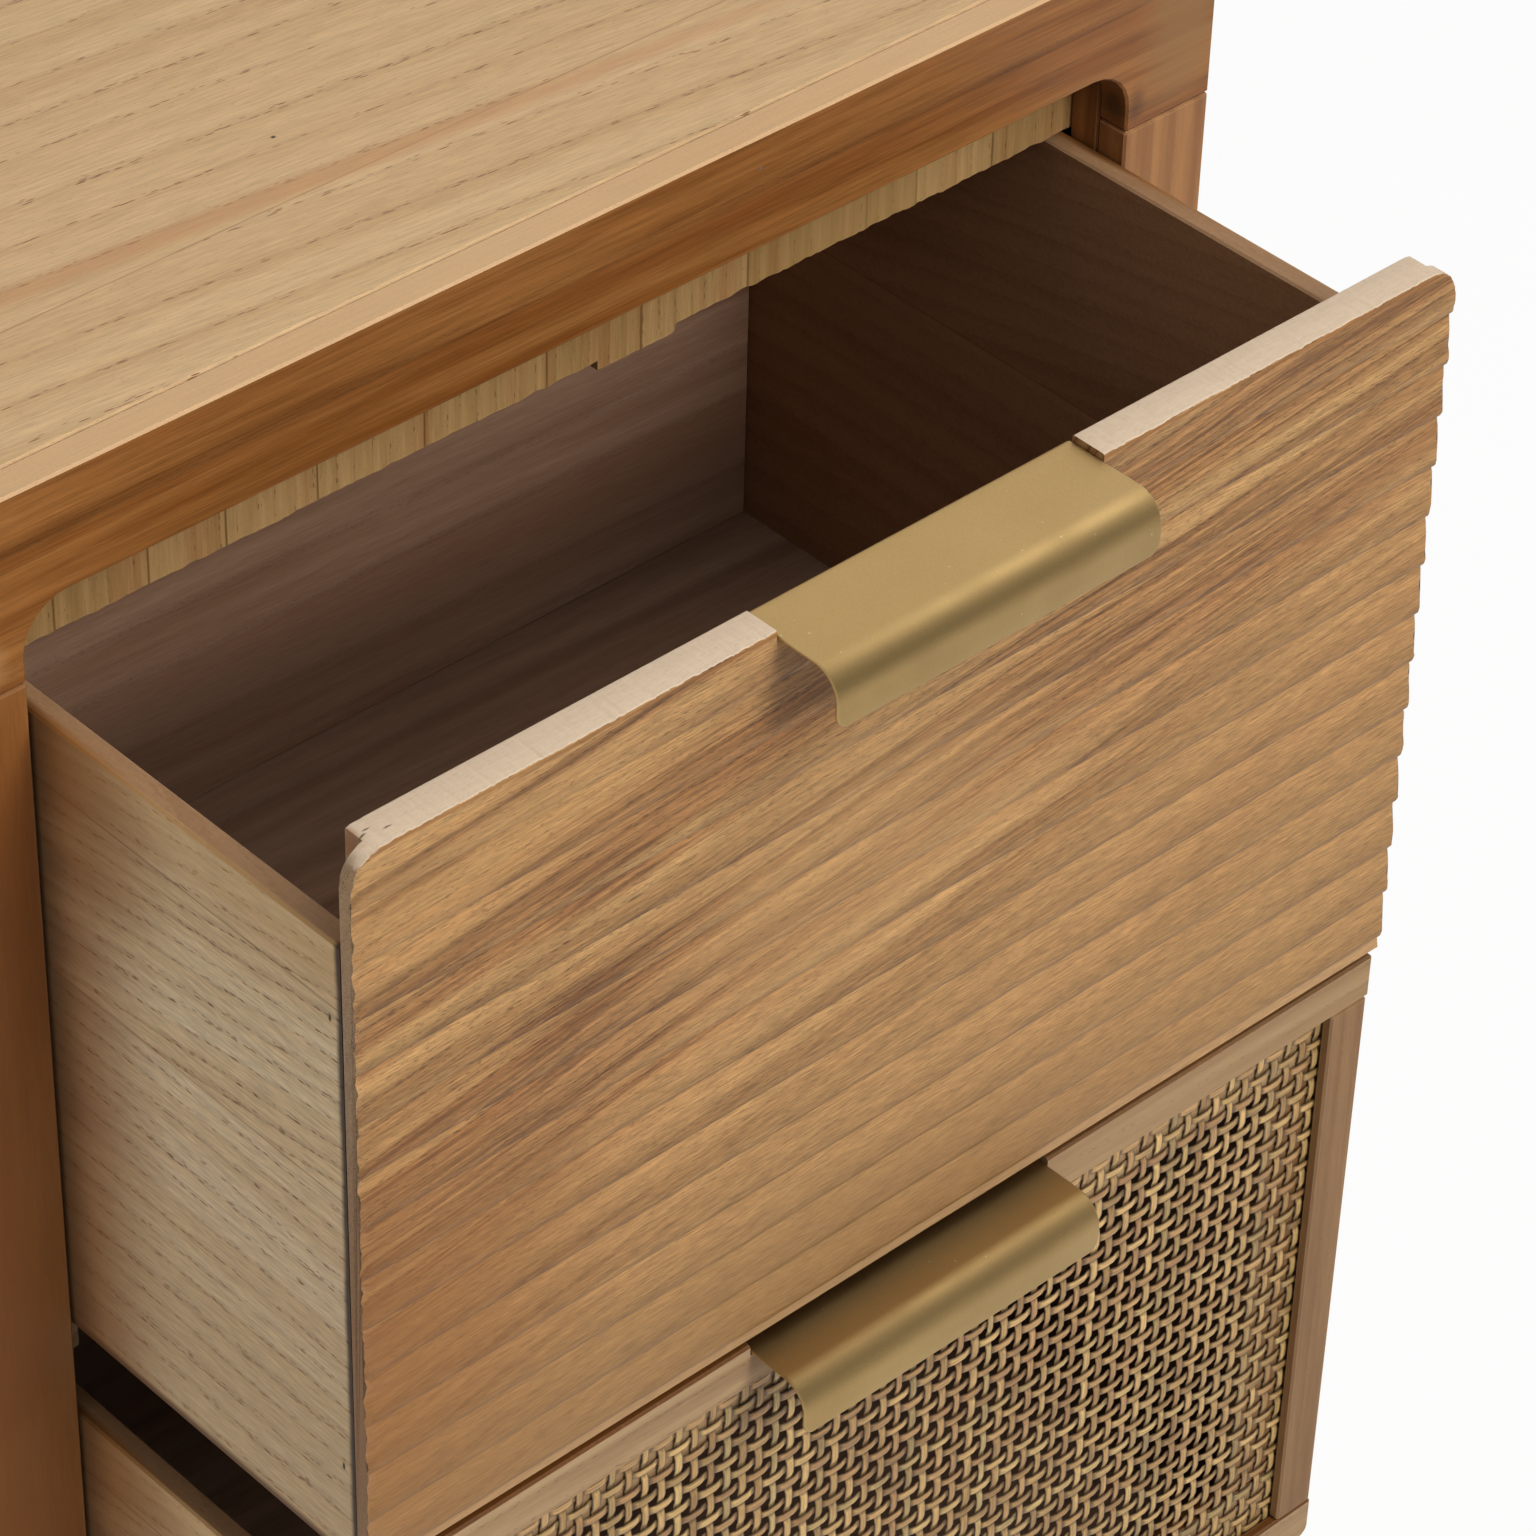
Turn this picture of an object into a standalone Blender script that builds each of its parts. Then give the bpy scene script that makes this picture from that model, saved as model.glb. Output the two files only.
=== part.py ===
"""Nightstand with a ribbed upper drawer and a caned lower drawer, both pulled open.

Metres, +Z up, front towards -Y. The floor is z = 0 and the origin is under the middle of the whole
piece as it stands, open drawers included. Each drawer hangs on its own empty, which slides along -Y.
"""
import math

import bmesh
import bpy

# Cabinet
WIDTH = 0.508
DEPTH = 0.356
HEIGHT = 0.690
LEG_HEIGHT = 0.058
LEG_TOP = 0.040
LEG_FOOT = 0.029
LEG_INSET = 0.003

# Boards of the cabinet
FRAME_THICK = 0.012
POST_WIDTH = 0.0378
RAIL_HEIGHT = 0.040
RAIL_BLOCK_DROP = 0.0245
RAIL_CORNER = 0.016
PANEL_THICK = 0.012
BACK_THICK = 0.005
CLEAT_THICK = 0.012
BATTEN_THICK = 0.012

# Drawers
FRONT_THICK = 0.013
FRONT_LIP = 0.006
FRONT_CORNER = 0.013
FRONT_GAP = 0.0022
FRONT_SIDE_GAP = 0.0012
DRAWER_LENGTH = 0.309
SIDE_THICK = 0.008
SIDE_DROP = 0.0335
SIDE_RISE = 0.0033
BOTTOM_THICK = 0.004
BOTTOM_RISE = 0.010
GROOVE_DEPTH = 0.004
UPPER_OPEN = 0.140
LOWER_OPEN = 0.1375

# Ribbed face of the upper drawer
RIB_PITCH = 0.019
RIB_DEPTH = 0.0025
RIB_NOSE = 0.002

# Framed cane of the lower drawer
FRAME_MEMBER = 0.0175
STILE_SET_BACK = 0.0008
LOWER_CORNER = 0.005
BACKING_SHOW = 0.022
CANE_THICK = 0.001
CANE_MARGIN = 0.006
NET_COLUMNS = 20
NET_ROWS = 14
NET_OPEN_SHARE = 0.42

# Brass pulls
PULL_LENGTH = 0.127
PULL_THICK = 0.0015
PULL_SINK = 0.002
PULL_REACH = 0.0245
PULL_BEND = 0.010
PULL_LIP = 0.019
PULL_LIP_CORNER = 0.005
PULL_FLANGE = 0.016
PULL_FLANGE_BEND = 0.002

# Wooden drawer slides
RUNNER_LEDGE = 0.010
GUIDE_HEIGHT = 0.024
KICKER_HEIGHT = 0.020
KICKER_GAP = 0.0008
STOP_GAP = 0.001
STOP_HEIGHT = 0.020

# Clearances and finish
FIT = 0.0003
CUT_PAST = 0.004
EDGE = 0.0008
LEG_EDGE = 0.002
ARC_STEPS = 6

# Levels and planes worked out from the sizes above
HALF_WIDTH = WIDTH / 2
FACE_Y = (UPPER_OPEN + PULL_REACH - DEPTH) / 2
REAR_Y = FACE_Y + DEPTH
CARCASS_BACK_Y = REAR_Y - BACK_THICK
OPENING_HALF = HALF_WIDTH - POST_WIDTH
OPENING_TOP = HEIGHT - RAIL_HEIGHT
OPENING_BOTTOM = LEG_HEIGHT + RAIL_HEIGHT
BLOCK_BOTTOM = OPENING_TOP - RAIL_BLOCK_DROP
TOP_UNDERSIDE = HEIGHT - PANEL_THICK
SIDE_INNER = HALF_WIDTH - PANEL_THICK
FRAME_BACK_Y = FACE_Y + FRAME_THICK
CLEAT_BACK_Y = FRAME_BACK_Y + FIT + CLEAT_THICK
REAR_CLEAT_Y = CARCASS_BACK_Y - FIT - CLEAT_THICK
BOTTOM_TOP = LEG_HEIGHT + PANEL_THICK

FRONT_HALF = OPENING_HALF - FRONT_SIDE_GAP
FRONT_HEIGHT = (OPENING_TOP - OPENING_BOTTOM - 3 * FRONT_GAP) / 2
UPPER_BASE = OPENING_TOP - FRONT_GAP - FRONT_HEIGHT
LOWER_BASE = OPENING_BOTTOM + FRONT_GAP
BOX_HALF = FRONT_HALF - SIDE_THICK
SIDE_TOP = FRONT_HEIGHT - SIDE_DROP
BOTTOM_LOW = SIDE_RISE + BOTTOM_RISE
BOTTOM_HIGH = BOTTOM_LOW + BOTTOM_THICK
PULL_TOP = FRONT_HEIGHT - PULL_SINK
NOTCH_FLOOR = PULL_TOP - PULL_THICK - FIT
RIB_COUNT = int(FRONT_HEIGHT / RIB_PITCH)


def clear_scene():
    """Remove every object so that the part is built from nothing."""
    for thing in list(bpy.data.objects):
        bpy.data.objects.remove(thing, do_unlink=True)


def linear(value):
    """Turn one sRGB channel from 0 to 255 into its linear value."""
    share = value / 255
    if share <= 0.04045:
        return share / 12.92
    return ((share + 0.055) / 1.055) ** 2.4


def material(name, red, green, blue, roughness, metallic=0.0):
    """Make a plain Principled material from an sRGB colour."""
    made = bpy.data.materials.new(name)
    made.use_nodes = True
    shader = made.node_tree.nodes["Principled BSDF"]
    colour = (linear(red), linear(green), linear(blue), 1.0)
    shader.inputs["Base Color"].default_value = colour
    shader.inputs["Roughness"].default_value = roughness
    shader.inputs["Metallic"].default_value = metallic
    made.diffuse_color = colour
    return made


def collection(name):
    """Make a collection under the scene's own."""
    made = bpy.data.collections.new(name)
    bpy.context.scene.collection.children.link(made)
    return made


def place(name, shape, finish, parent):
    """Turn a bmesh into a named object of the nightstand on the given empty."""
    mesh = bpy.data.meshes.new(name)
    bmesh.ops.recalc_face_normals(shape, faces=shape.faces)
    shape.to_mesh(mesh)
    shape.free()
    mesh.materials.append(finish)
    made = bpy.data.objects.new(name, mesh)
    made.parent = parent
    PARTS.objects.link(made)
    return made


def soften(piece, width=EDGE):
    """Break the sharp edges of a board."""
    bevel = piece.modifiers.new("broken edges", "BEVEL")
    bevel.width = width
    bevel.segments = 1
    bevel.limit_method = "ANGLE"
    bevel.angle_limit = math.radians(50)
    return piece


def box(spans):
    """Give a box between the low and high ends of its X, Y and Z spans, and its centre."""
    centre = [(low + high) / 2 for low, high in spans]
    shape = bmesh.new()
    bmesh.ops.create_cube(shape, size=1.0)
    bmesh.ops.scale(shape, verts=shape.verts, vec=[high - low for low, high in spans])
    return shape, centre


def board(name, x, y, z, finish, parent):
    """A plain board with broken edges."""
    shape, centre = box((x, y, z))
    piece = place(name, shape, finish, parent)
    piece.location = centre
    return soften(piece)


def both_sides(name, x, y, z, finish, parent):
    """A board on the right and its twin on the left."""
    low, high = x
    board(name + "_right", (low, high), y, z, finish, parent)
    board(name + "_left", (-high, -low), y, z, finish, parent)


def prism(outline, axis, span):
    """Carry a flat outline along X (points are y, z) or along Y (points are x, z)."""
    low, high = span
    shape = bmesh.new()
    if axis == "X":
        corners = [(low, y, z) for y, z in outline]
        travel = (high - low, 0, 0)
    else:
        corners = [(x, low, z) for x, z in outline]
        travel = (0, high - low, 0)
    face = shape.faces.new([shape.verts.new(corner) for corner in corners])
    swept = bmesh.ops.extrude_face_region(shape, geom=[face])
    moved = [item for item in swept["geom"] if isinstance(item, bmesh.types.BMVert)]
    bmesh.ops.translate(shape, verts=moved, vec=travel)
    return shape


def arc(centre, radius, start, end):
    """Points of an arc between two angles in degrees."""
    steps = range(ARC_STEPS + 1)
    angles = [math.radians(start + (end - start) * step / ARC_STEPS) for step in steps]
    return [(centre[0] + radius * math.cos(angle), centre[1] + radius * math.sin(angle)) for angle in angles]


def cut(piece, name, shape, operation="DIFFERENCE"):
    """Cut a piece with a hidden cutter that rides on the same empty."""
    mesh = bpy.data.meshes.new(name)
    bmesh.ops.recalc_face_normals(shape, faces=shape.faces)
    shape.to_mesh(mesh)
    shape.free()
    cutter = bpy.data.objects.new(name, mesh)
    cutter.parent = piece.parent
    cutter.hide_render = True
    cutter.display_type = "WIRE"
    CUTTERS.objects.link(cutter)
    boolean = piece.modifiers.new(name, "BOOLEAN")
    boolean.operation = operation
    boolean.solver = "EXACT"
    boolean.object = cutter
    return cutter


def cut_box(piece, name, x, y, z):
    """Cut a box-shaped piece away."""
    shape, centre = box((x, y, z))
    cutter = cut(piece, name, shape)
    cutter.location = centre


def empty(name, location):
    """An empty that carries a group of pieces."""
    made = bpy.data.objects.new(name, None)
    made.location = location
    PARTS.objects.link(made)
    return made


def top_rail_outline():
    """Front view of the top rail: a long board whose ends turn down with round inner corners."""
    right = arc((OPENING_HALF - RAIL_CORNER, OPENING_TOP - RAIL_CORNER), RAIL_CORNER, 0, 90)
    left = [(-x, z) for x, z in reversed(right)]
    foot = [(HALF_WIDTH, BLOCK_BOTTOM), (OPENING_HALF, BLOCK_BOTTOM)]
    other_foot = [(-x, z) for x, z in reversed(foot)]
    return [(-HALF_WIDTH, HEIGHT), (HALF_WIDTH, HEIGHT)] + foot + right + left + other_foot


def build_front_frame(cabinet):
    """The boards that face the cabinet: two rails and two posts."""
    depth = (FACE_Y, FRAME_BACK_Y)
    rail = place("front_top_rail", prism(top_rail_outline(), "Y", depth), RAIL_WOOD, cabinet)
    soften(rail)
    posts = (OPENING_HALF, HALF_WIDTH)
    both_sides("front_post", posts, depth, (LEG_HEIGHT + FIT, BLOCK_BOTTOM - FIT), RAIL_WOOD, cabinet)
    between = (-OPENING_HALF + FIT, OPENING_HALF - FIT)
    board("front_bottom_rail", between, depth, (LEG_HEIGHT + FIT, OPENING_BOTTOM), RAIL_WOOD, cabinet)


def build_carcass(cabinet):
    """Top, sides, bottom and back, with the upright cleats in the corners."""
    behind_frame = FRAME_BACK_Y + FIT
    board("top_panel", (-HALF_WIDTH, HALF_WIDTH), (behind_frame, REAR_Y), (TOP_UNDERSIDE, HEIGHT),
          TOP_WOOD, cabinet)
    upright = (LEG_HEIGHT + FIT, TOP_UNDERSIDE - FIT)
    shell_depth = (behind_frame, CARCASS_BACK_Y - FIT)
    both_sides("side_panel", (SIDE_INNER, HALF_WIDTH), shell_depth, upright, PANEL_WOOD, cabinet)
    across = (-SIDE_INNER + FIT, SIDE_INNER - FIT)
    board("bottom_panel", across, shell_depth, (LEG_HEIGHT + FIT, BOTTOM_TOP), PANEL_WOOD, cabinet)
    board("back_panel", (-HALF_WIDTH, HALF_WIDTH), (CARCASS_BACK_Y, REAR_Y), upright, PANEL_WOOD, cabinet)
    standing = (BOTTOM_TOP + FIT, TOP_UNDERSIDE - FIT)
    corner = (OPENING_HALF, SIDE_INNER - FIT)
    both_sides("front_cleat", corner, (behind_frame, CLEAT_BACK_Y), standing, INNER_WOOD, cabinet)
    both_sides("rear_cleat", corner, (REAR_CLEAT_Y, CARCASS_BACK_Y - FIT), standing, INNER_WOOD, cabinet)
    build_legs(cabinet)


def build_legs(cabinet):
    """Four short legs that taper on every side, under the corners of the carcass."""
    out_x = HALF_WIDTH - LEG_INSET - LEG_TOP / 2
    ends = {"front": FACE_Y + LEG_INSET + LEG_TOP / 2, "rear": REAR_Y - LEG_INSET - LEG_TOP / 2}
    for end, y in ends.items():
        for side, x in (("right", out_x), ("left", -out_x)):
            shape = bmesh.new()
            bmesh.ops.create_cube(shape, size=1.0)
            bmesh.ops.scale(shape, verts=shape.verts, vec=(LEG_TOP, LEG_TOP, LEG_HEIGHT))
            foot = [corner for corner in shape.verts if corner.co.z < 0]
            taper = LEG_FOOT / LEG_TOP
            bmesh.ops.scale(shape, verts=foot, vec=(taper, taper, 1))
            leg = place("leg_" + end + "_" + side, shape, RAIL_WOOD, cabinet)
            leg.location = (x, y, LEG_HEIGHT / 2)
            soften(leg, LEG_EDGE)


def build_slides(cabinet):
    """Runners, guides, stops and kickers: the wooden ways that the drawers slide in."""
    upper_floor = UPPER_BASE + SIDE_RISE - FIT
    lower_floor = LOWER_BASE + SIDE_RISE - FIT
    lower_ceiling = LOWER_BASE + SIDE_TOP + KICKER_GAP
    upper_ceiling = UPPER_BASE + SIDE_TOP + KICKER_GAP
    ledge = (BOX_HALF - RUNNER_LEDGE, SIDE_INNER - FIT)
    wall = (OPENING_HALF, SIDE_INNER - FIT)
    run = (CLEAT_BACK_Y + FIT, REAR_CLEAT_Y - FIT)
    both_sides("runner_upper", ledge, run, (lower_ceiling, upper_floor), INNER_WOOD, cabinet)
    both_sides("runner_lower", ledge, run, (BOTTOM_TOP + FIT, lower_floor), INNER_WOOD, cabinet)
    closed_rear = FACE_Y + DRAWER_LENGTH
    stop_run = (closed_rear + STOP_GAP, REAR_CLEAT_Y - FIT)
    stop_across = (BOX_HALF - RUNNER_LEDGE, OPENING_HALF - FIT)
    for level, floor in (("upper", upper_floor), ("lower", lower_floor)):
        guide_rise = (floor + FIT, floor + FIT + GUIDE_HEIGHT)
        both_sides("guide_" + level, wall, run, guide_rise, INNER_WOOD, cabinet)
        stop_rise = (floor + FIT, floor + FIT + STOP_HEIGHT)
        both_sides("stop_" + level, stop_across, stop_run, stop_rise, INNER_WOOD, cabinet)
    under_top = (upper_ceiling, TOP_UNDERSIDE - FIT)
    batten_back = CLEAT_BACK_Y + FIT + BATTEN_THICK
    across = (-SIDE_INNER + FIT, SIDE_INNER - FIT)
    board("cross_batten", across, (CLEAT_BACK_Y + FIT, batten_back), under_top, BATTEN_WOOD, cabinet)
    kicker_run = (batten_back + FIT, REAR_CLEAT_Y - FIT)
    kicker_rise = (upper_ceiling, upper_ceiling + KICKER_HEIGHT)
    both_sides("kicker", ledge, kicker_run, kicker_rise, INNER_WOOD, cabinet)


def rib_face():
    """Ribbed front profile from the top down: each rib leans out, turns a round nose and steps back."""
    points = [(RIB_DEPTH, FRONT_HEIGHT + CUT_PAST)]
    for rib in range(RIB_COUNT):
        top = FRONT_HEIGHT - rib * RIB_PITCH
        bottom = top - RIB_PITCH
        points.append((RIB_DEPTH, top))
        points += arc((RIB_NOSE, bottom + RIB_NOSE), RIB_NOSE, 180, 270)
    last_top = FRONT_HEIGHT - RIB_COUNT * RIB_PITCH
    points.append((RIB_DEPTH, last_top))
    points.append((RIB_DEPTH * (1 - last_top / RIB_PITCH), 0))
    return points


def grooved_back(height):
    """Back profile from the bottom up, with the groove that holds the drawer's bottom."""
    inner = FRONT_THICK - GROOVE_DEPTH
    low = BOTTOM_LOW - FIT
    high = BOTTOM_HIGH + FIT
    return [(FRONT_THICK, 0), (FRONT_THICK, low), (inner, low), (inner, high), (FRONT_THICK, high),
            (FRONT_THICK, height)]


def front_outline():
    """Front view of the ribbed front: square at the foot, round at the two top corners."""
    right = arc((FRONT_HALF - FRONT_CORNER, FRONT_HEIGHT - FRONT_CORNER), FRONT_CORNER, 0, 90)
    left = [(-x, z) for x, z in reversed(right)]
    return [(-FRONT_HALF, -CUT_PAST), (FRONT_HALF, -CUT_PAST)] + right + left


def cut_notch(piece, name):
    """Notch in the top edge of a front that the plate of the pull lies in."""
    half = PULL_LENGTH / 2 + FIT
    across = (-CUT_PAST, FRONT_THICK + CUT_PAST)
    cut_box(piece, name, (-half, half), across, (NOTCH_FLOOR, FRONT_HEIGHT + 2 * CUT_PAST))


def build_ribbed_front(drawer):
    """Ribbed front: the profile is carried across, trimmed to its outline, rabbeted and notched."""
    profile = rib_face() + grooved_back(FRONT_HEIGHT + CUT_PAST)
    across = (-FRONT_HALF - CUT_PAST, FRONT_HALF + CUT_PAST)
    front = place("upper_front", prism(profile, "X", across), FRONT_WOOD, drawer)
    past = (-CUT_PAST, FRONT_THICK + CUT_PAST)
    cut(front, "front_trim", prism(front_outline(), "Y", past), "INTERSECT")
    rabbet_depth = (FRONT_LIP, FRONT_THICK + CUT_PAST)
    rabbet_height = (-CUT_PAST, FRONT_HEIGHT + CUT_PAST)
    inner = BOX_HALF - FIT
    outer = FRONT_HALF + CUT_PAST
    cut_box(front, "rabbet_right", (inner, outer), rabbet_depth, rabbet_height)
    cut_box(front, "rabbet_left", (-outer, -inner), rabbet_depth, rabbet_height)
    cut_notch(front, "upper_notch")


def build_caned_front(drawer):
    """Caned front: a thin face frame, the cane, and a wider backing frame behind it."""
    face = (0, FRONT_LIP - CANE_THICK - 2 * FIT)
    full = (-FRONT_HALF, FRONT_HALF)
    top_low = FRONT_HEIGHT - FRAME_MEMBER
    rail = board("lower_front_top_rail", full, face, (top_low, FRONT_HEIGHT), CANE_FRAME, drawer)
    cut_notch(rail, "lower_rail_notch")
    foot = prism(lower_rail_outline(), "Y", face)
    soften(place("lower_front_bottom_rail", foot, CANE_FRAME, drawer))
    stile = (FRONT_HALF - FRAME_MEMBER, FRONT_HALF - STILE_SET_BACK)
    both_sides("lower_front_stile", stile, face, (FRAME_MEMBER + FIT, top_low - FIT), CANE_FRAME, drawer)
    build_cane(drawer)
    build_backing(drawer)


def lower_rail_outline():
    """Front view of the bottom rail of the caned front, with its two rounded lower corners."""
    right = arc((FRONT_HALF - LOWER_CORNER, LOWER_CORNER), LOWER_CORNER, 270, 360)
    left = [(-x, z) for x, z in reversed(right)]
    return left + right + [(FRONT_HALF, FRAME_MEMBER), (-FRONT_HALF, FRAME_MEMBER)]


def net_lines(low, high, margin, count):
    """Edges of the strands and gaps along one side of the net, between its two solid borders."""
    pitch = (high - low - 2 * margin) / count
    strand = pitch * (1 - NET_OPEN_SHARE)
    lines = [low]
    for gap in range(count):
        start = low + margin + gap * pitch + strand / 2
        lines += [start, start + pitch - strand]
    return lines + [high]


def build_cane(drawer):
    """Cane panel: a flat net whose gaps lie inside the face frame."""
    half = BOX_HALF - FIT
    border = FRAME_MEMBER - SIDE_THICK
    columns = net_lines(-half, half, border, NET_COLUMNS)
    rows = net_lines(CANE_MARGIN, FRONT_HEIGHT - CANE_MARGIN, FRAME_MEMBER - CANE_MARGIN, NET_ROWS)
    shape = bmesh.new()
    y = FRONT_LIP - CANE_THICK - FIT
    grid = [[shape.verts.new((x, y, z)) for x in columns] for z in rows]
    for row in range(len(rows) - 1):
        for column in range(len(columns) - 1):
            if row % 2 and column % 2:
                continue
            low, high = grid[row], grid[row + 1]
            shape.faces.new((low[column], low[column + 1], high[column + 1], high[column]))
    sheet = bmesh.ops.extrude_face_region(shape, geom=list(shape.faces))
    moved = [item for item in sheet["geom"] if isinstance(item, bmesh.types.BMVert)]
    bmesh.ops.translate(shape, verts=moved, vec=(0, CANE_THICK, 0))
    place("cane_panel", shape, CANE, drawer)


def build_backing(drawer):
    """Backing frame that clamps the cane and carries the sides of the drawer."""
    depth = (FRONT_LIP, FRONT_THICK)
    wide = FRAME_MEMBER + BACKING_SHOW
    half = BOX_HALF - FIT
    low = wide
    high = FRONT_HEIGHT - wide
    top = board("backing_top", (-half, half), depth, (high, FRONT_HEIGHT), BACKING_WOOD, drawer)
    cut_notch(top, "backing_notch")
    foot = [(FRONT_LIP, 0)] + grooved_back(low) + [(FRONT_LIP, low)]
    place("backing_bottom", prism(foot, "X", (-half, half)), BACKING_WOOD, drawer)
    upright = (half - wide + SIDE_THICK, half)
    both_sides("backing_stile", upright, depth, (low + FIT, high - FIT), BACKING_WOOD, drawer)


def side_outline():
    """End view of the right drawer side: broken top edges, and inside the groove for the bottom."""
    low = BOTTOM_LOW - FIT
    high = BOTTOM_HIGH + FIT
    deep = BOX_HALF + GROOVE_DEPTH
    groove = [(BOX_HALF, high), (deep, high), (deep, low), (BOX_HALF, low)]
    foot = [(BOX_HALF, SIDE_RISE), (FRONT_HALF, SIDE_RISE)]
    outer_edge = [(FRONT_HALF, SIDE_TOP - EDGE), (FRONT_HALF - EDGE, SIDE_TOP)]
    inner_edge = [(BOX_HALF + EDGE, SIDE_TOP), (BOX_HALF, SIDE_TOP - EDGE)]
    return groove + foot + outer_edge + inner_edge


def build_box(drawer, level):
    """Sides, back and bottom of a drawer behind its front."""
    run = (FRONT_LIP + FIT, DRAWER_LENGTH)
    place(level + "_side_right", prism(side_outline(), "Y", run), SIDE_WOOD, drawer)
    mirrored = [(-x, z) for x, z in side_outline()]
    place(level + "_side_left", prism(mirrored, "Y", run), SIDE_WOOD, drawer)
    floor_half = BOX_HALF + GROOVE_DEPTH - FIT
    floor_run = (FRONT_THICK - GROOVE_DEPTH + FIT, DRAWER_LENGTH)
    floor, centre = box(((-floor_half, floor_half), floor_run, (BOTTOM_LOW, BOTTOM_HIGH)))
    bottom = place(level + "_bottom", floor, DRAWER_INSIDE, drawer)
    bottom.location = centre
    back_half = BOX_HALF - FIT
    back_run = (DRAWER_LENGTH - SIDE_THICK, DRAWER_LENGTH)
    board(level + "_back", (-back_half, back_half), back_run, (BOTTOM_HIGH + FIT, SIDE_TOP),
          DRAWER_INSIDE, drawer)


def pull_profile():
    """Outer line of the bent sheet from the flange inside the drawer, over the front, to the lip."""
    rear = FRONT_THICK + FIT + PULL_THICK
    back = arc((rear - PULL_FLANGE_BEND, PULL_TOP - PULL_FLANGE_BEND), PULL_FLANGE_BEND, 0, 90)
    bend = arc((PULL_BEND - PULL_REACH, PULL_TOP - PULL_BEND), PULL_BEND, 90, 180)
    return [(rear, PULL_TOP - PULL_FLANGE)] + back + bend + [(-PULL_REACH, PULL_TOP - PULL_LIP)]


def build_pull(drawer, level):
    """Brass edge pull: one bent sheet with rounded corners at its two free edges."""
    half = PULL_LENGTH / 2
    shape = bmesh.new()
    rows = []
    for y, z in pull_profile():
        rows.append((shape.verts.new((-half, y, z)), shape.verts.new((half, y, z))))
    for first, second in zip(rows, rows[1:]):
        shape.faces.new((first[0], first[1], second[1], second[0]))
    free_corners = list(rows[0]) + list(rows[-1])
    bmesh.ops.bevel(shape, geom=free_corners, offset=PULL_LIP_CORNER, segments=4, profile=0.5,
                    affect="VERTICES")
    pull = place(level + "_pull", shape, BRASS, drawer)
    sheet = pull.modifiers.new("sheet", "SOLIDIFY")
    sheet.thickness = PULL_THICK
    sheet.offset = -1.0
    sheet.use_even_offset = True
    for face in pull.data.polygons:
        face.use_smooth = True


def build():
    """Put the cabinet and its two drawers together."""
    cabinet = empty("cabinet", (0, 0, 0))
    build_front_frame(cabinet)
    build_carcass(cabinet)
    build_slides(cabinet)
    upper = empty("upper_drawer", (0, FACE_Y - UPPER_OPEN, UPPER_BASE))
    build_ribbed_front(upper)
    build_box(upper, "upper")
    build_pull(upper, "upper")
    lower = empty("lower_drawer", (0, FACE_Y - LOWER_OPEN, LOWER_BASE))
    build_caned_front(lower)
    build_box(lower, "lower")
    build_pull(lower, "lower")


clear_scene()
PARTS = collection("nightstand")
CUTTERS = collection("cutters")
TOP_WOOD = material("pale wood top", 198, 164, 121, 0.55)
RAIL_WOOD = material("stained frame wood", 145, 97, 56, 0.5)
PANEL_WOOD = material("cabinet panel wood", 165, 125, 85, 0.55)
INNER_WOOD = material("unfinished inner wood", 120, 92, 62, 0.7)
BATTEN_WOOD = material("rough batten wood", 142, 108, 68, 0.75)
FRONT_WOOD = material("ribbed front wood", 168, 126, 86, 0.5)
CANE_FRAME = material("cane frame wood", 160, 124, 86, 0.5)
BACKING_WOOD = material("backing frame wood", 150, 115, 75, 0.6)
SIDE_WOOD = material("drawer side wood", 168, 142, 110, 0.6)
DRAWER_INSIDE = material("dark drawer lining wood", 92, 68, 54, 0.6)
CANE = material("woven cane", 180, 145, 100, 0.5)
BRASS = material("satin brass", 190, 160, 105, 0.32, 1.0)
build()
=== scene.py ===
"""Looks of a two-drawer nightstand: planed woods, a ribbed front, woven cane and bent brass pulls.

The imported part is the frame. Boards whose shape is right keep it and get a wood of their own; the ribbed
front, the cane, the pulls and the rough batten are surfaces worked out here, on the places the frame gives.
"""

import math

import bpy
import numpy as np
from bpy.props import FloatProperty, FloatVectorProperty, PointerProperty
from mathutils import Euler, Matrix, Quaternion, Vector


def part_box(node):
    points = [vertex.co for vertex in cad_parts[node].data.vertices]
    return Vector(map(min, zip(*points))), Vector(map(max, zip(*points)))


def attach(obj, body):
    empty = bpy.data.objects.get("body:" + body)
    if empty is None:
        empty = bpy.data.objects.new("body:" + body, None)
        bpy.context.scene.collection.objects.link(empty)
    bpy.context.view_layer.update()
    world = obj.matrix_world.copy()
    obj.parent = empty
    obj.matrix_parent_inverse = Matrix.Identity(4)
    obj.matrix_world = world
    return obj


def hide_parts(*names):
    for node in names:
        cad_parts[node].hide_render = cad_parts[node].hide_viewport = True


bl_info = {
    "name": "Nightstand looks",
    "version": (1, 0, 0),
    "blender": (4, 5, 0),
    "location": "3D View > Sidebar > Nightstand",
    "description": "Woods, cane, brass and stage of a two-drawer nightstand",
    "category": "Object",
}

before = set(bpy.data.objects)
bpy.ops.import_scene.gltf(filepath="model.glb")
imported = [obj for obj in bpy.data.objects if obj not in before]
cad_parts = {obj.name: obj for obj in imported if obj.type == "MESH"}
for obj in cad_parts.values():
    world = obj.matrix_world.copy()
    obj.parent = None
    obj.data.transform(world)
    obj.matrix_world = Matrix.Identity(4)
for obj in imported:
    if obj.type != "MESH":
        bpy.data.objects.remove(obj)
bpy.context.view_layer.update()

MM = 0.001
PER_MM = 1000.0
IMAGE_SIDE = 1536
# A radius, in millimetres, that reaches past any board.
LONG = 9000.0
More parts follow.
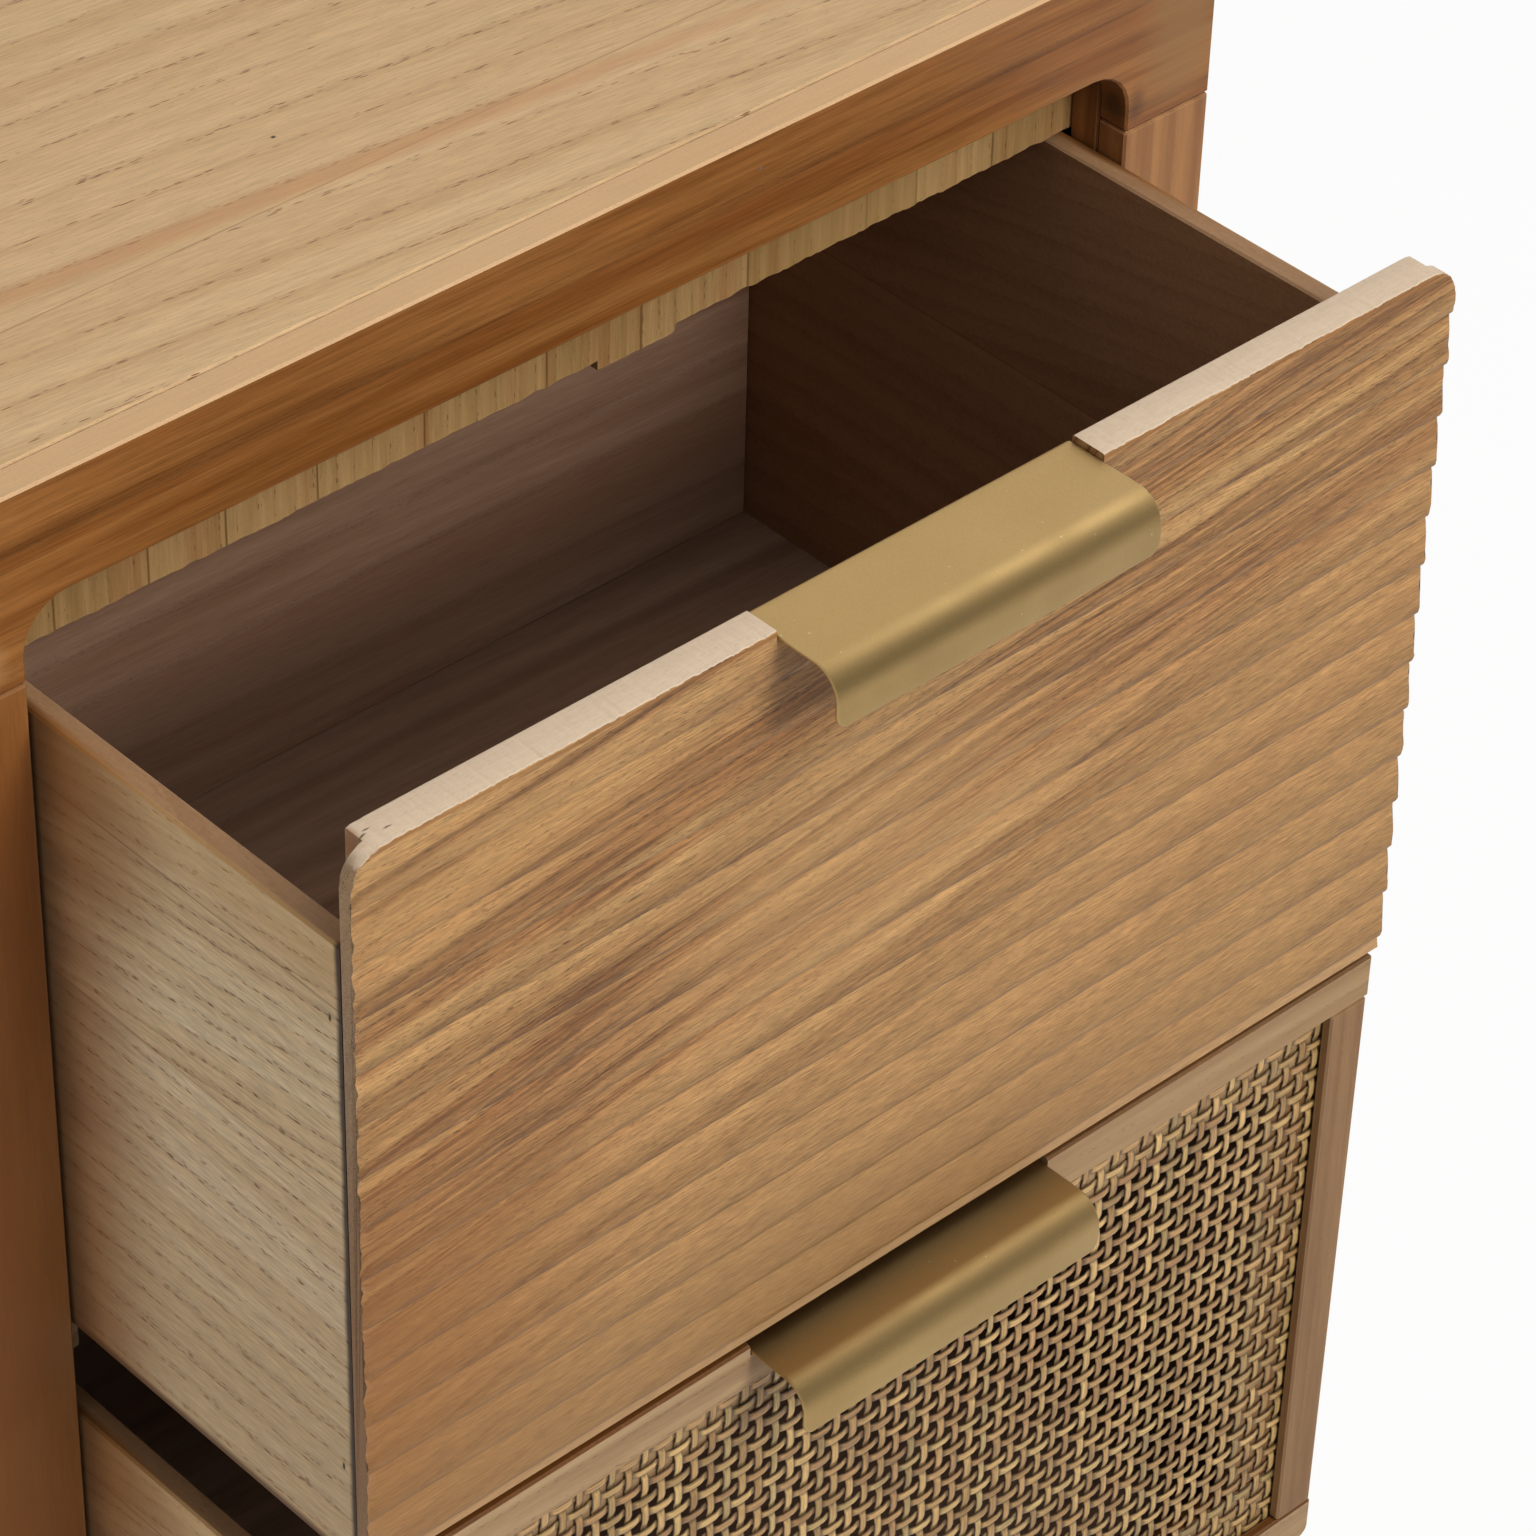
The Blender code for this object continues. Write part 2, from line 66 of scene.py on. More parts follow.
# How many seeded knots a line of smooth noise has before it repeats.
KNOTS = 4096
SENSOR = 36.0

# Clearance round let-in and rebated joints, and the hair between two stations that make a sharp step.
FIT = 0.3 * MM
HAIR = 1e-6

# The camera as straight edges in the photograph give it: place, direction, focal length in pixels, roll.
EYE = (-0.94826, -1.15885, 1.62175)
AHEAD = (0.53969, 0.56465, -0.62443)
FOCAL_PIXELS = 5850.96
ROLL = 0.0292

# Lamps: the setting with their power, place, width, and whether only mirrors see them.
LAMPS = {
    "front lamp": ("key", (0.25, -2.7, 2.05), 0.7, False),
    "overhead lamp": ("overhead", (0.3, -1.6, 2.5), 1.6, False),
    "gleam": ("gleam", (1.35, -0.35, 2.3), 0.6, True),
}
LAMP_AIM = (0.0, -0.1, 0.45)
FLOOR_HALF = 4.0

# Fasteners: screws out from the middle and down from the top of a pull, brads in from the ends and down
# from the top of a drawer side, pins in from the edges of the back.
SCREW_OUT = 42.0 * MM
SCREW_DROP = 9.5 * MM
BRAD_FRONT = 5.0 * MM
BRAD_REAR = 4.0 * MM
BRAD_DROPS = (27.6 * MM, 198.0 * MM)
PIN_INSET = 6.0 * MM

# The whole ribbed front, the board it is cut from and the places of the pulls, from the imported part.
FRONT_LOW, FRONT_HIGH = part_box("upper_front")
BOX_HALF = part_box("upper_side_right")[0].x
UPPER_PULL_LOW, UPPER_PULL_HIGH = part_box("upper_pull")
LOWER_PULL_LOW, LOWER_PULL_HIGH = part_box("lower_pull")
BOTTOM_LOW, BOTTOM_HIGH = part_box("upper_bottom")
CANE_LOW, CANE_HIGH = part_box("cane_panel")
BATTEN_LOW, BATTEN_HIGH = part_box("cross_batten")
BACK_LOW, BACK_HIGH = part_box("back_panel")


def linear(text):
    """An sRGB hex colour as linear red, green and blue."""
    parts = np.array([int(text[i:i + 2], 16) for i in (1, 3, 5)]) / 255.0
    low = parts / 12.92
    high = ((parts + 0.055) / 1.055) ** 2.4
    return tuple(float(v) for v in np.where(parts <= 0.04045, low, high))


def colour(name, text, words):
    """A colour setting with its sRGB default."""
    return FloatVectorProperty(name=name, description=words, subtype="COLOR", min=0.0, max=1.0,
                               default=linear(text))


def length(name, default, words):
    """A length setting in metres."""
    return FloatProperty(name=name, description=words, unit="LENGTH", subtype="DISTANCE", min=0.0,
                         precision=5, default=default)


# The two ends of the range of each wood and of the cane: label, pale tone, deep tone, where it is.
TONES = {
    "top": ("Top", "#d4b285", "#c39f71", "top board"),
    "rail": ("Frame", "#a06b38", "#79461a", "stained face frame"),
    "panel": ("Cabinet", "#b28250", "#8e6034", "side panels and legs"),
    "front": ("Ribbed front", "#ba935f", "#8a5b32", "ribbed front"),
    "strip": ("Frame top edge", "#d5b084", "#c69b6d", "bare top edge of the face frame"),
    "raw": ("Raw edge", "#dac4aa", "#cfb698", "sanded top edge of the ribbed front"),
    "end": ("End grain", "#a9855a", "#75532f", "cut ends of the boards"),
    "sawn": ("Ribbed front end", "#c0a07a", "#836245", "sawn ends of the ribbed front"),
    "side": ("Drawer side", "#ecd6b0", "#dabb90", "outside of the drawer sides"),
    "edge": ("Drawer edge", "#aa8562", "#8b6642", "top edges of the drawer boxes"),
    "lining": ("Drawer inside", "#cfa88b", "#9c7358", "inside of the drawers"),
    # Painted shade: the inside of the drawer sides is the lining drawn darker and warmer.
    "inner_side": ("Drawer side, inside", "#ac845f", "#7d563b", "inside of the drawer sides"),
    "batten": ("Batten", "#c09a66", "#93703f", "rough batten under the top"),
    "inner": ("Inner wood", "#c7a97f", "#a6845a", "runners, guides and cleats"),
    "cane_frame": ("Cane frame", "#ae8f68", "#957551", "frame round the cane"),
    "stile": ("Cane stile", "#8f6c47", "#7a5734", "upright members beside the cane"),
    "strand": ("Cane", "#cfa96c", "#97703f", "strands of the cane"),
}


class NightstandColours(bpy.types.PropertyGroup):
    """Colours of the metals, and a pale and a deep tone of each wood and of the cane."""

    brass: colour("Brass", "#ba9c68", "Satin brass of the pulls")
    steel: colour("Steel", "#8b8781", "Screws of the pulls")


for key, (label, pale_tone, deep_tone, where) in TONES.items():
    NightstandColours.__annotations__[f"{key}_pale"] = colour(f"{label}, pale", pale_tone,
                                                              f"Pale tone of the {where}")
    NightstandColours.__annotations__[f"{key}_deep"] = colour(f"{label}, deep", deep_tone,
                                                              f"Deep tone of the {where}")


class RibbedFrontSizes(bpy.types.PropertyGroup):
    """Sizes of the ribbed drawer front."""

    pitch: length("Rib pitch", 0.019, "Height of one rib")
    depth: length("Rib depth", 0.0017, "How far each rib leans out")
    nose: length("Nose", 0.003, "Height of the rounded lower edge of a rib")
    corner: length("Corner", 0.0115, "Radius of the two top corners")
    lip: length("Lip", 0.0057, "Thickness left in front of the drawer sides")
    arris: length("Arris", 0.0007, "Rounding of the top edge")
    tear: length("Tear-out", 0.0005, "Raggedness of the cut edges")
    foot_left: length("Foot, left", 0.0036, "How far the foot is cut short at the left end")
    foot_right: length("Foot, right", 0.0022, "How far the foot is cut short at the right end")


class CaneSizes(bpy.types.PropertyGroup):
    """Sizes of the woven cane."""

    pitch: length("Pitch", 0.00677, "Spacing of the strands")
    upright: length("Upright width", 0.0032, "Width of an upright strand")
    crosswise: length("Crosswise width", 0.0033, "Width of a crosswise strand")
    thick: length("Thickness", 0.0007, "Thickness of a strand")
    lift: length("Lift", 0.00032, "How far a strand rises over a crossing")


class PullSizes(bpy.types.PropertyGroup):
    """Sizes of the bent brass pulls."""

    thick: length("Thickness", 0.0015, "Thickness of the brass sheet")
    bend: length("Front bend", 0.010, "Outer radius of the bend above the lip")
    flange_bend: length("Rear bend", 0.002, "Outer radius of the bend behind the front")
    corner: length("Corner", 0.005, "Radius of the corners of the lip and the flange")


class StageSettings(bpy.types.PropertyGroup):
    """Light of the studio."""

    sky: FloatProperty(name="Soft light", description="Even light from all sides", default=0.40, min=0.0)
    key: FloatProperty(name="Front light", description="Power of the front lamp", unit="POWER",
                       default=30.0, min=0.0)
    overhead: FloatProperty(name="Overhead light", description="Power of the overhead lamp",
                            unit="POWER", default=30.0, min=0.0)
    gleam: FloatProperty(name="Gleam", description="Power of the lamp seen in the metal", unit="POWER",
                         default=7.0, min=0.0)
    floor: colour("Floor", "#f2f1ee", "Matt paper floor")


def ripple(values, spacing, seed):
    """Smooth noise from -1 to 1 along a line: seeded knots a spacing apart, eased by a cosine."""
    knots = np.random.default_rng(seed).uniform(-1.0, 1.0, KNOTS)
    place = np.asarray(values) / spacing + 1000.0
    low = np.floor(place).astype(int)
    ease = 0.5 - 0.5 * np.cos(np.pi * (place - low))
    return knots[low % KNOTS] * (1.0 - ease) + knots[(low + 1) % KNOTS] * ease


def turn(centre, radius, start, end, steps):
    """Points of an arc: centre plus radius times cosine and sine, from start to end in degrees."""
    angles = np.radians(np.linspace(start, end, steps))
    return np.stack([centre[0] + radius * np.cos(angles), centre[1] + radius * np.sin(angles)], axis=-1)


def carried(points):
    """Faces of closed outlines carried along paths.

    The array is paths by stations by outline by three. Neighbouring stations are joined by quads round the
    outline, and the first and last outline of each path are closed by one face. An outline that runs
    anticlockwise about its path gives faces that point outwards.
    """
    paths, stations, count = points.shape[:3]
    index = np.arange(paths * stations * count).reshape(paths, stations, count)
    ahead = np.roll(index, -1, axis=2)
    sides = np.stack([index[:, :-1], ahead[:, :-1], ahead[:, 1:], index[:, 1:]], axis=-1)
    return sides.reshape(-1, 4).tolist() + index[:, 0, ::-1].tolist() + index[:, -1].tolist()


def make_piece(name, points, finish, body, replaced=(), sharp=40.0, marks=None):
    """A piece of carried outlines that rides on a body, smooth where it turns less than an angle."""
    mesh = bpy.data.meshes.new(name)
    mesh.from_pydata(points.reshape(-1, 3).tolist(), [], carried(points))
    mesh.polygons.foreach_set("use_smooth", np.ones(len(mesh.polygons), dtype=bool))
    mesh.set_sharp_from_angle(angle=math.radians(sharp))
    for key, values in (marks or {}).items():
        layer = mesh.attributes.new(key, "FLOAT", "POINT")
        layer.data.foreach_set("value", values.ravel().astype(np.float32))
    mesh.materials.append(finish)
    mesh.update()
    piece = bpy.data.objects.new(name, mesh)
    bpy.context.scene.collection.objects.link(piece)
    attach(piece, body)
    if replaced:
        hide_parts(*replaced)
    return piece


def finish_nodes(finish, names):
    """Gives packed boards their material."""
    for name in names:
        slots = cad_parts[name].data.materials
        slots.clear()
        slots.append(finish)


def add(tree, kind, inputs=None, **settings):
    """Adds a node, sets it, fills its sockets with values or links, and returns its first open output."""
    node = tree.nodes.new("ShaderNode" + kind)
    for key, value in settings.items():
        setattr(node, key, value)
    for key, value in (inputs or {}).items():
        if isinstance(key, int):
            socket = node.inputs[key]
        else:
            socket = next(s for s in node.inputs if s.enabled and s.name == key)
        if isinstance(value, bpy.types.NodeSocket):
            tree.links.new(value, socket)
        else:
            socket.default_value = value
    return next((s for s in node.outputs if s.enabled), None)


def start_material(name):
    """An empty node material: the material, its tree and its Principled shader node."""
    material = bpy.data.materials.new(name)
    material.use_nodes = True
    tree = material.node_tree
    tree.nodes.clear()
    shader = add(tree, "BsdfPrincipled").node
    add(tree, "OutputMaterial", {"Surface": shader.outputs[0]})
    return material, tree, shader


def pair(tones, key):
    """The pale and the deep tone of one wood."""
    return getattr(tones, f"{key}_pale"), getattr(tones, f"{key}_deep")


def opaque(tone):
    """A colour setting as the four numbers that a colour socket takes."""
    return (*tone, 1.0)


def wood(name, lie, tones, ring=16.0, heart=(0.0, -400.0), taper=0.0, sway=5.0, uneven=0.4, line=0.5,
         pores=0.6, speckle=0.16, porous=0.2, dash=(3.2, 0.8), fleck=0.18, thread=(13.0, 0.7),
         bend=0.05, stretch=0.04, streak=0.0, band=18.0, contrast=1.0, blush=0.2, rough=0.55, ink="#6b431f",
         faces=(), marks=(), joint=None, staves=0.0, fade=None, comb=None, wear=0.3):
    """Wood of one board or set of boards.

    lie turns the object's axes so that x runs along the grain, in degrees; tones are pale and deep colours.
    Growth layers are the distance from the heart line in millimetres, which comes nearer by taper along the
    grain; noise drawn out by bend sways them by sway. Bands as wide as band, drawn out by stretch, mix the
    tones by contrast, and blush reddens some. Rings are ring wide and uneven; each starts with a dark line
    and crowded pores. porous is the share of a ring that is crowded, speckle how many pores lie elsewhere,
    dash the length and width of a pore, thread those of a fibre, fleck how much fibres differ, and streak
    the strength of long thin streaks. ink is the colour of lines and pores, wear how pale rubbed edges are.
    faces gives other tones, a fraying and a share of the pores to faces that look along an axis, where x
    counts from the middle outwards. marks are soft spots: centre in metres, radii in millimetres along and
    across the grain, colour and strength. joint is the axis, level and slope of a second board. staves is
    the width of upright staves. fade is the direction, start and end along which the dark figure comes up.
    comb is the top and pitch of moulded ribs and how many millimetres of layers each cuts through; painted
    shade makes a rib start pale and darken towards its nose, less on the top ribs.
    """
    material, tree, shader = start_material(name)
    coords = add(tree, "TexCoord").node.outputs
    place = add(tree, "VectorMath", {0: coords["Object"], "Scale": PER_MM}, operation="SCALE")
    at = add(tree, "SeparateXYZ", {"Vector": place}).node.outputs
    rotation = tuple(math.radians(v) for v in lie)
    grain = add(tree, "Mapping", {"Vector": place, "Rotation": rotation})
    run = add(tree, "SeparateXYZ", {"Vector": grain}).node.outputs
    # Growth layers: noise drawn out along the grain sways the distance from the heart.
    drawn = add(tree, "Mapping", {"Vector": grain, "Scale": (bend, 1.0, 1.0)})
    drift = add(tree, "TexNoise", {"Vector": drawn, "Scale": 1 / 38.0, "Detail": 2.0})
    depth = add(tree, "Math", {0: run["X"], 1: taper, 2: run["Z"]}, operation="MULTIPLY_ADD")
    across = add(tree, "CombineXYZ", {"Y": run["Y"], "Z": depth})
    out = add(tree, "VectorMath", {0: across, 1: (0.0, heart[0], heart[1])}, operation="SUBTRACT")
    radius = add(tree, "VectorMath", {0: out}, operation="LENGTH")
    layer = add(tree, "Math", {0: drift, 1: 2.0 * sway, 2: radius}, operation="MULTIPLY_ADD")
    if joint:
        past = add(tree, "Math", {0: at[joint[0]], 1: joint[1]}, operation="GREATER_THAN")
        slope = add(tree, "Math", {0: run["X"], 1: joint[2], 2: 137.0}, operation="MULTIPLY_ADD")
        moved = add(tree, "Math", {0: slope, 1: past}, operation="MULTIPLY")
        layer = add(tree, "Math", {0: layer, 1: moved}, operation="ADD")
    if comb:
        drop = add(tree, "Math", {0: comb[0], 1: at["Z"]}, operation="SUBTRACT")
        ribs = add(tree, "Math", {0: drop, 1: 1 / comb[1]}, operation="MULTIPLY")
        drop = add(tree, "Math", {0: ribs}, operation="FRACT")
        layer = add(tree, "Math", {0: drop, 1: -comb[2], 2: layer}, operation="MULTIPLY_ADD")
    sheet = add(tree, "CombineXYZ", {"X": run["X"], "Y": layer})
    flow = add(tree, "Mapping", {"Vector": sheet, "Scale": (stretch, 1.0, 1.0)})
    bands = add(tree, "TexNoise", {"Vector": flow, "Scale": 1 / band, "Detail": 3.0, "Roughness": 0.55},
                noise_dimensions="2D")
    count = add(tree, "Math", {0: layer, 1: 1 / ring}, operation="MULTIPLY")
    width = add(tree, "TexNoise", {"W": count, "Scale": 0.9, "Detail": 0.0}, noise_dimensions="1D")
    count = add(tree, "Math", {0: width, 1: uneven, 2: count}, operation="MULTIPLY_ADD")
    saw = add(tree, "Math", {0: count}, operation="FRACT")
    late = add(tree, "MapRange", {"Value": saw, "From Min": 0.35, "From Max": 1.0})
    early = add(tree, "MapRange", {"Value": saw, "From Min": 0.0, "From Max": porous, "To Min": 1.0,
                                   "To Max": 0.0}, interpolation_type="SMOOTHSTEP")
    # Open pores: dashes along the grain, crowded at the start of each ring.
    cells = add(tree, "Mapping", {"Vector": grain, "Scale": (1 / dash[0], 1 / dash[1], 1 / dash[1])})
    spot = add(tree, "TexVoronoi", {"Vector": cells, "Scale": 1.0, "Randomness": 1.0})
    reach = add(tree, "MapRange", {"Value": early, "To Min": speckle, "To Max": 0.40})
    inside = add(tree, "Math", {0: reach, 1: spot}, operation="SUBTRACT")
    pore = add(tree, "MapRange", {"Value": inside, "From Min": 0.0, "From Max": 0.10})
    # Fibres: fine streaks as long and wide as thread.
    spun = add(tree, "Mapping", {"Vector": grain, "Scale": (1 / thread[0], 1 / thread[1], 1 / thread[1])})
    fibre = add(tree, "TexNoise", {"Vector": spun, "Scale": 1.0, "Detail": 3.0, "Roughness": 0.65})
    share = add(tree, "Math", {0: late, 1: 0.2, 2: bands}, operation="MULTIPLY_ADD")
    share = add(tree, "MapRange", {"Value": share, "From Min": 0.55 - 0.28 / contrast,
                                   "From Max": 0.55 + 0.28 / contrast}, interpolation_type="SMOOTHSTEP")
    figure = 1.0
    if fade:
        level = add(tree, "VectorMath", {0: place, 1: fade[0]}, operation="DOT_PRODUCT")
        figure = add(tree, "MapRange", {"Value": level, "From Min": fade[1], "From Max": fade[2],
                                        "To Min": 0.2, "To Max": 1.0}, interpolation_type="SMOOTHSTEP")
        share = add(tree, "Mix", {"Factor": figure, "A": 0.4, "B": share})
        crowd = add(tree, "MapRange", {"Value": figure, "To Min": 0.25, "To Max": 1.0})
        pore = add(tree, "Math", {0: pore, 1: crowd}, operation="MULTIPLY")
    if staves:
        # Upright staves of uneven width, each with a shade of its own and a dark glue line.
        stave = add(tree, "TexVoronoi", {"W": at["X"], "Scale": 1 / staves}, voronoi_dimensions="1D")
        shade = add(tree, "SeparateColor", {"Color": stave.node.outputs["Color"]})
        share = add(tree, "Mix", {"Factor": 0.6, "A": share, "B": shade})
        seam = add(tree, "TexVoronoi", {"W": at["X"], "Scale": 1 / staves}, voronoi_dimensions="1D",
                   feature="DISTANCE_TO_EDGE")
    tone = add(tree, "Mix", {"Factor": share, "A": opaque(tones[0]), "B": opaque(tones[1])},
               data_type="RGBA")
    # A reddish blush in some of the bands, as tannin leaves it.
    warm = add(tree, "TexNoise", {"Vector": flow, "Scale": 1 / (2.7 * band), "Detail": 1.0},
               noise_dimensions="2D")
    warm = add(tree, "MapRange", {"Value": warm, "From Min": 0.5, "From Max": 0.75, "To Max": blush})
    tone = add(tree, "Mix", {"Factor": warm, "A": tone, "B": opaque(linear("#a86a42"))}, data_type="RGBA")
    dark = opaque(linear(ink))
    if streak:
        # Streaks 140 mm long along the layers: soft pale and dark ones, and thin ones where the noise
        # crosses its middle.
        lines = add(tree, "Mapping", {"Vector": sheet, "Scale": (1 / 140.0, 3.5 / band, 1.0)})
        wisp = add(tree, "TexNoise", {"Vector": lines, "Scale": 1.0, "Detail": 3.0}, noise_dimensions="2D")
        soft = add(tree, "MapRange", {"Value": wisp, "From Min": 0.3, "From Max": 0.7,
                                      "To Min": 1.0 - 0.16 * streak, "To Max": 1.0 + 0.16 * streak})
        soft = add(tree, "Mix", {"Factor": figure, "A": 1.0, "B": soft})
        tone = add(tree, "VectorMath", {0: tone, "Scale": soft}, operation="SCALE")
        wisp = add(tree, "Math", {0: wisp, 1: 0.5}, operation="SUBTRACT")
        wisp = add(tree, "Math", {0: wisp}, operation="ABSOLUTE")
        wisp = add(tree, "MapRange", {"Value": wisp, "From Min": 0.09, "From Max": 0.0})
        heavy = add(tree, "MapRange", {"Value": bands, "From Min": 0.38, "From Max": 0.62, "To Min": 0.15,
                                       "To Max": streak})
        wisp = add(tree, "Math", {0: wisp, 1: heavy}, operation="MULTIPLY")
        wisp = add(tree, "Math", {0: wisp, 1: figure}, operation="MULTIPLY")
        tone = add(tree, "Mix", {"Factor": wisp, "A": tone, "B": dark}, data_type="RGBA")
    ringed = add(tree, "Math", {0: early, 1: bands}, operation="MULTIPLY")
    ringed = add(tree, "Math", {0: ringed, 1: line}, operation="MULTIPLY")
    ringed = add(tree, "Math", {0: ringed, 1: figure}, operation="MULTIPLY")
    tone = add(tree, "Mix", {"Factor": ringed, "A": tone, "B": dark}, data_type="RGBA")
    if comb:
        # Painted shade: each rib starts pale and darkens towards its nose, most at the nose; it is weaker on
        # the top ribs.
        fall = add(tree, "MapRange", {"Value": drop, "To Min": 1.22, "To Max": 0.80})
        under = add(tree, "MapRange", {"Value": drop, "From Min": 0.90, "From Max": 1.0, "To Min": 1.0,
                                       "To Max": 0.92})
        fall = add(tree, "Math", {0: fall, 1: under}, operation="MULTIPLY")
        rib_fade = add(tree, "MapRange", {"Value": ribs, "From Min": 1.0, "From Max": 4.0, "To Min": 0.6,
                                      "To Max": 0.0})
        fall = add(tree, "Mix", {"Factor": rib_fade, "A": fall, "B": 1.0})
        tone = add(tree, "VectorMath", {0: tone, "Scale": fall}, operation="SCALE")
    if faces:
        # Which way a face looks, with x counted outwards from the middle of the cabinet.
        looks = add(tree, "SeparateXYZ", {"Vector": coords["Normal"]}).node.outputs
        half = add(tree, "Math", {0: at["X"]}, operation="SIGN")
        outward = add(tree, "Math", {0: looks["X"], 1: half}, operation="MULTIPLY")
        facing = add(tree, "CombineXYZ", {"X": outward, "Y": looks["Y"], "Z": looks["Z"]})
        ragged = add(tree, "TexNoise", {"Vector": grain, "Scale": 0.8, "Detail": 2.0})
    bare = 1.0
    for axis, other, fray, kept in faces:
        toward = add(tree, "VectorMath", {0: facing, 1: axis}, operation="DOT_PRODUCT")
        frayed = add(tree, "Math", {0: ragged, 1: fray, 2: toward}, operation="MULTIPLY_ADD")
        mask = add(tree, "MapRange", {"Value": frayed, "From Min": 0.55 + fray / 2,
                                      "From Max": 0.70 + fray / 2})
        cloud = add(tree, "Mix", {"Factor": 0.6, "A": share, "B": ragged})
        cut_tone = add(tree, "Mix", {"Factor": cloud, "A": opaque(other[0]), "B": opaque(other[1])},
                       data_type="RGBA")
        closed = add(tree, "MapRange", {"Value": mask, "To Min": 1.0, "To Max": kept})
        pore = add(tree, "Math", {0: pore, 1: closed}, operation="MULTIPLY")
        bare = add(tree, "Math", {0: bare, 1: closed}, operation="MULTIPLY")
        tone = add(tree, "Mix", {"Factor": mask, "A": tone, "B": cut_tone}, data_type="RGBA")
    # Edges that hands and cloths rub go paler, in patches.
    rounded = add(tree, "Bevel", {"Radius": 1.1 * MM}, samples=2)
    plain = add(tree, "NewGeometry").node.outputs["Normal"]
    turned = add(tree, "VectorMath", {0: rounded, 1: plain}, operation="DOT_PRODUCT")
    pale_edge = add(tree, "MapRange", {"Value": turned, "From Min": 0.995, "From Max": 0.86,
                                    "To Min": 0.0, "To Max": wear})
    pale_edge = add(tree, "Math", {0: pale_edge, 1: bands}, operation="MULTIPLY")
    tone = add(tree, "Mix", {"Factor": pale_edge, "A": tone, "B": opaque(linear("#e0cdb0"))},
               data_type="RGBA")
    shade = add(tree, "MapRange", {"Value": fibre, "From Min": 0.25, "From Max": 0.75,
                                   "To Min": 1.0 - fleck, "To Max": 1.0 + 0.85 * fleck})
    shade = add(tree, "Mix", {"Factor": bare, "A": 1.0, "B": shade})
    tone = add(tree, "VectorMath", {0: tone, "Scale": shade}, operation="SCALE")
    dashes = add(tree, "Math", {0: pore, 1: pores}, operation="MULTIPLY")
    tone = add(tree, "Mix", {"Factor": dashes, "A": tone, "B": dark}, data_type="RGBA")
    if staves:
        glue = add(tree, "MapRange", {"Value": seam, "From Min": 0.004, "From Max": 0.016, "To Min": 0.7,
                                      "To Max": 0.0})
        tone = add(tree, "Mix", {"Factor": glue, "A": tone, "B": dark}, data_type="RGBA")
    if joint:
        step = add(tree, "Math", {0: at[joint[0]], 1: joint[1]}, operation="SUBTRACT")
        near = add(tree, "Math", {0: step}, operation="ABSOLUTE")
        glue = add(tree, "MapRange", {"Value": near, "From Min": 0.1, "From Max": 0.45, "To Min": 0.45,
                                      "To Max": 0.0})
        tone = add(tree, "Mix", {"Factor": glue, "A": tone, "B": dark}, data_type="RGBA")
    for centre, radii, stain, strength in marks:
        middle = Euler(rotation).to_matrix() @ Vector(centre) * PER_MM
        away = add(tree, "VectorMath", {0: grain, 1: tuple(middle)}, operation="SUBTRACT")
        away = add(tree, "VectorMath", {0: away, 1: tuple(1 / r for r in radii)}, operation="MULTIPLY")
        away = add(tree, "VectorMath", {0: away}, operation="LENGTH")
        away = add(tree, "Math", {0: bands, 1: 0.5, 2: away}, operation="MULTIPLY_ADD")
        mask = add(tree, "MapRange", {"Value": away, "From Min": 1.25, "From Max": 0.5, "To Min": 0.0,
                                      "To Max": strength}, interpolation_type="SMOOTHSTEP")
        tone = add(tree, "Mix", {"Factor": mask, "A": tone, "B": opaque(linear(stain))}, data_type="RGBA")
    tree.links.new(tone, shader.inputs["Base Color"])
    gloss = add(tree, "MapRange", {"Value": fibre, "From Min": 0.3, "From Max": 0.7,
                                   "To Min": rough - 0.05, "To Max": rough + 0.07})
    tree.links.new(gloss, shader.inputs["Roughness"])
    shader.inputs["Specular IOR Level"].default_value = 0.3
    relief = add(tree, "Math", {0: fibre, 1: 0.35}, operation="MULTIPLY")
    relief = add(tree, "Math", {0: relief, 1: pore}, operation="SUBTRACT")
    bump = add(tree, "Bump", {"Height": relief, "Strength": 0.5, "Distance": 0.12 * MM})
    tree.links.new(bump, shader.inputs["Normal"])
    return material


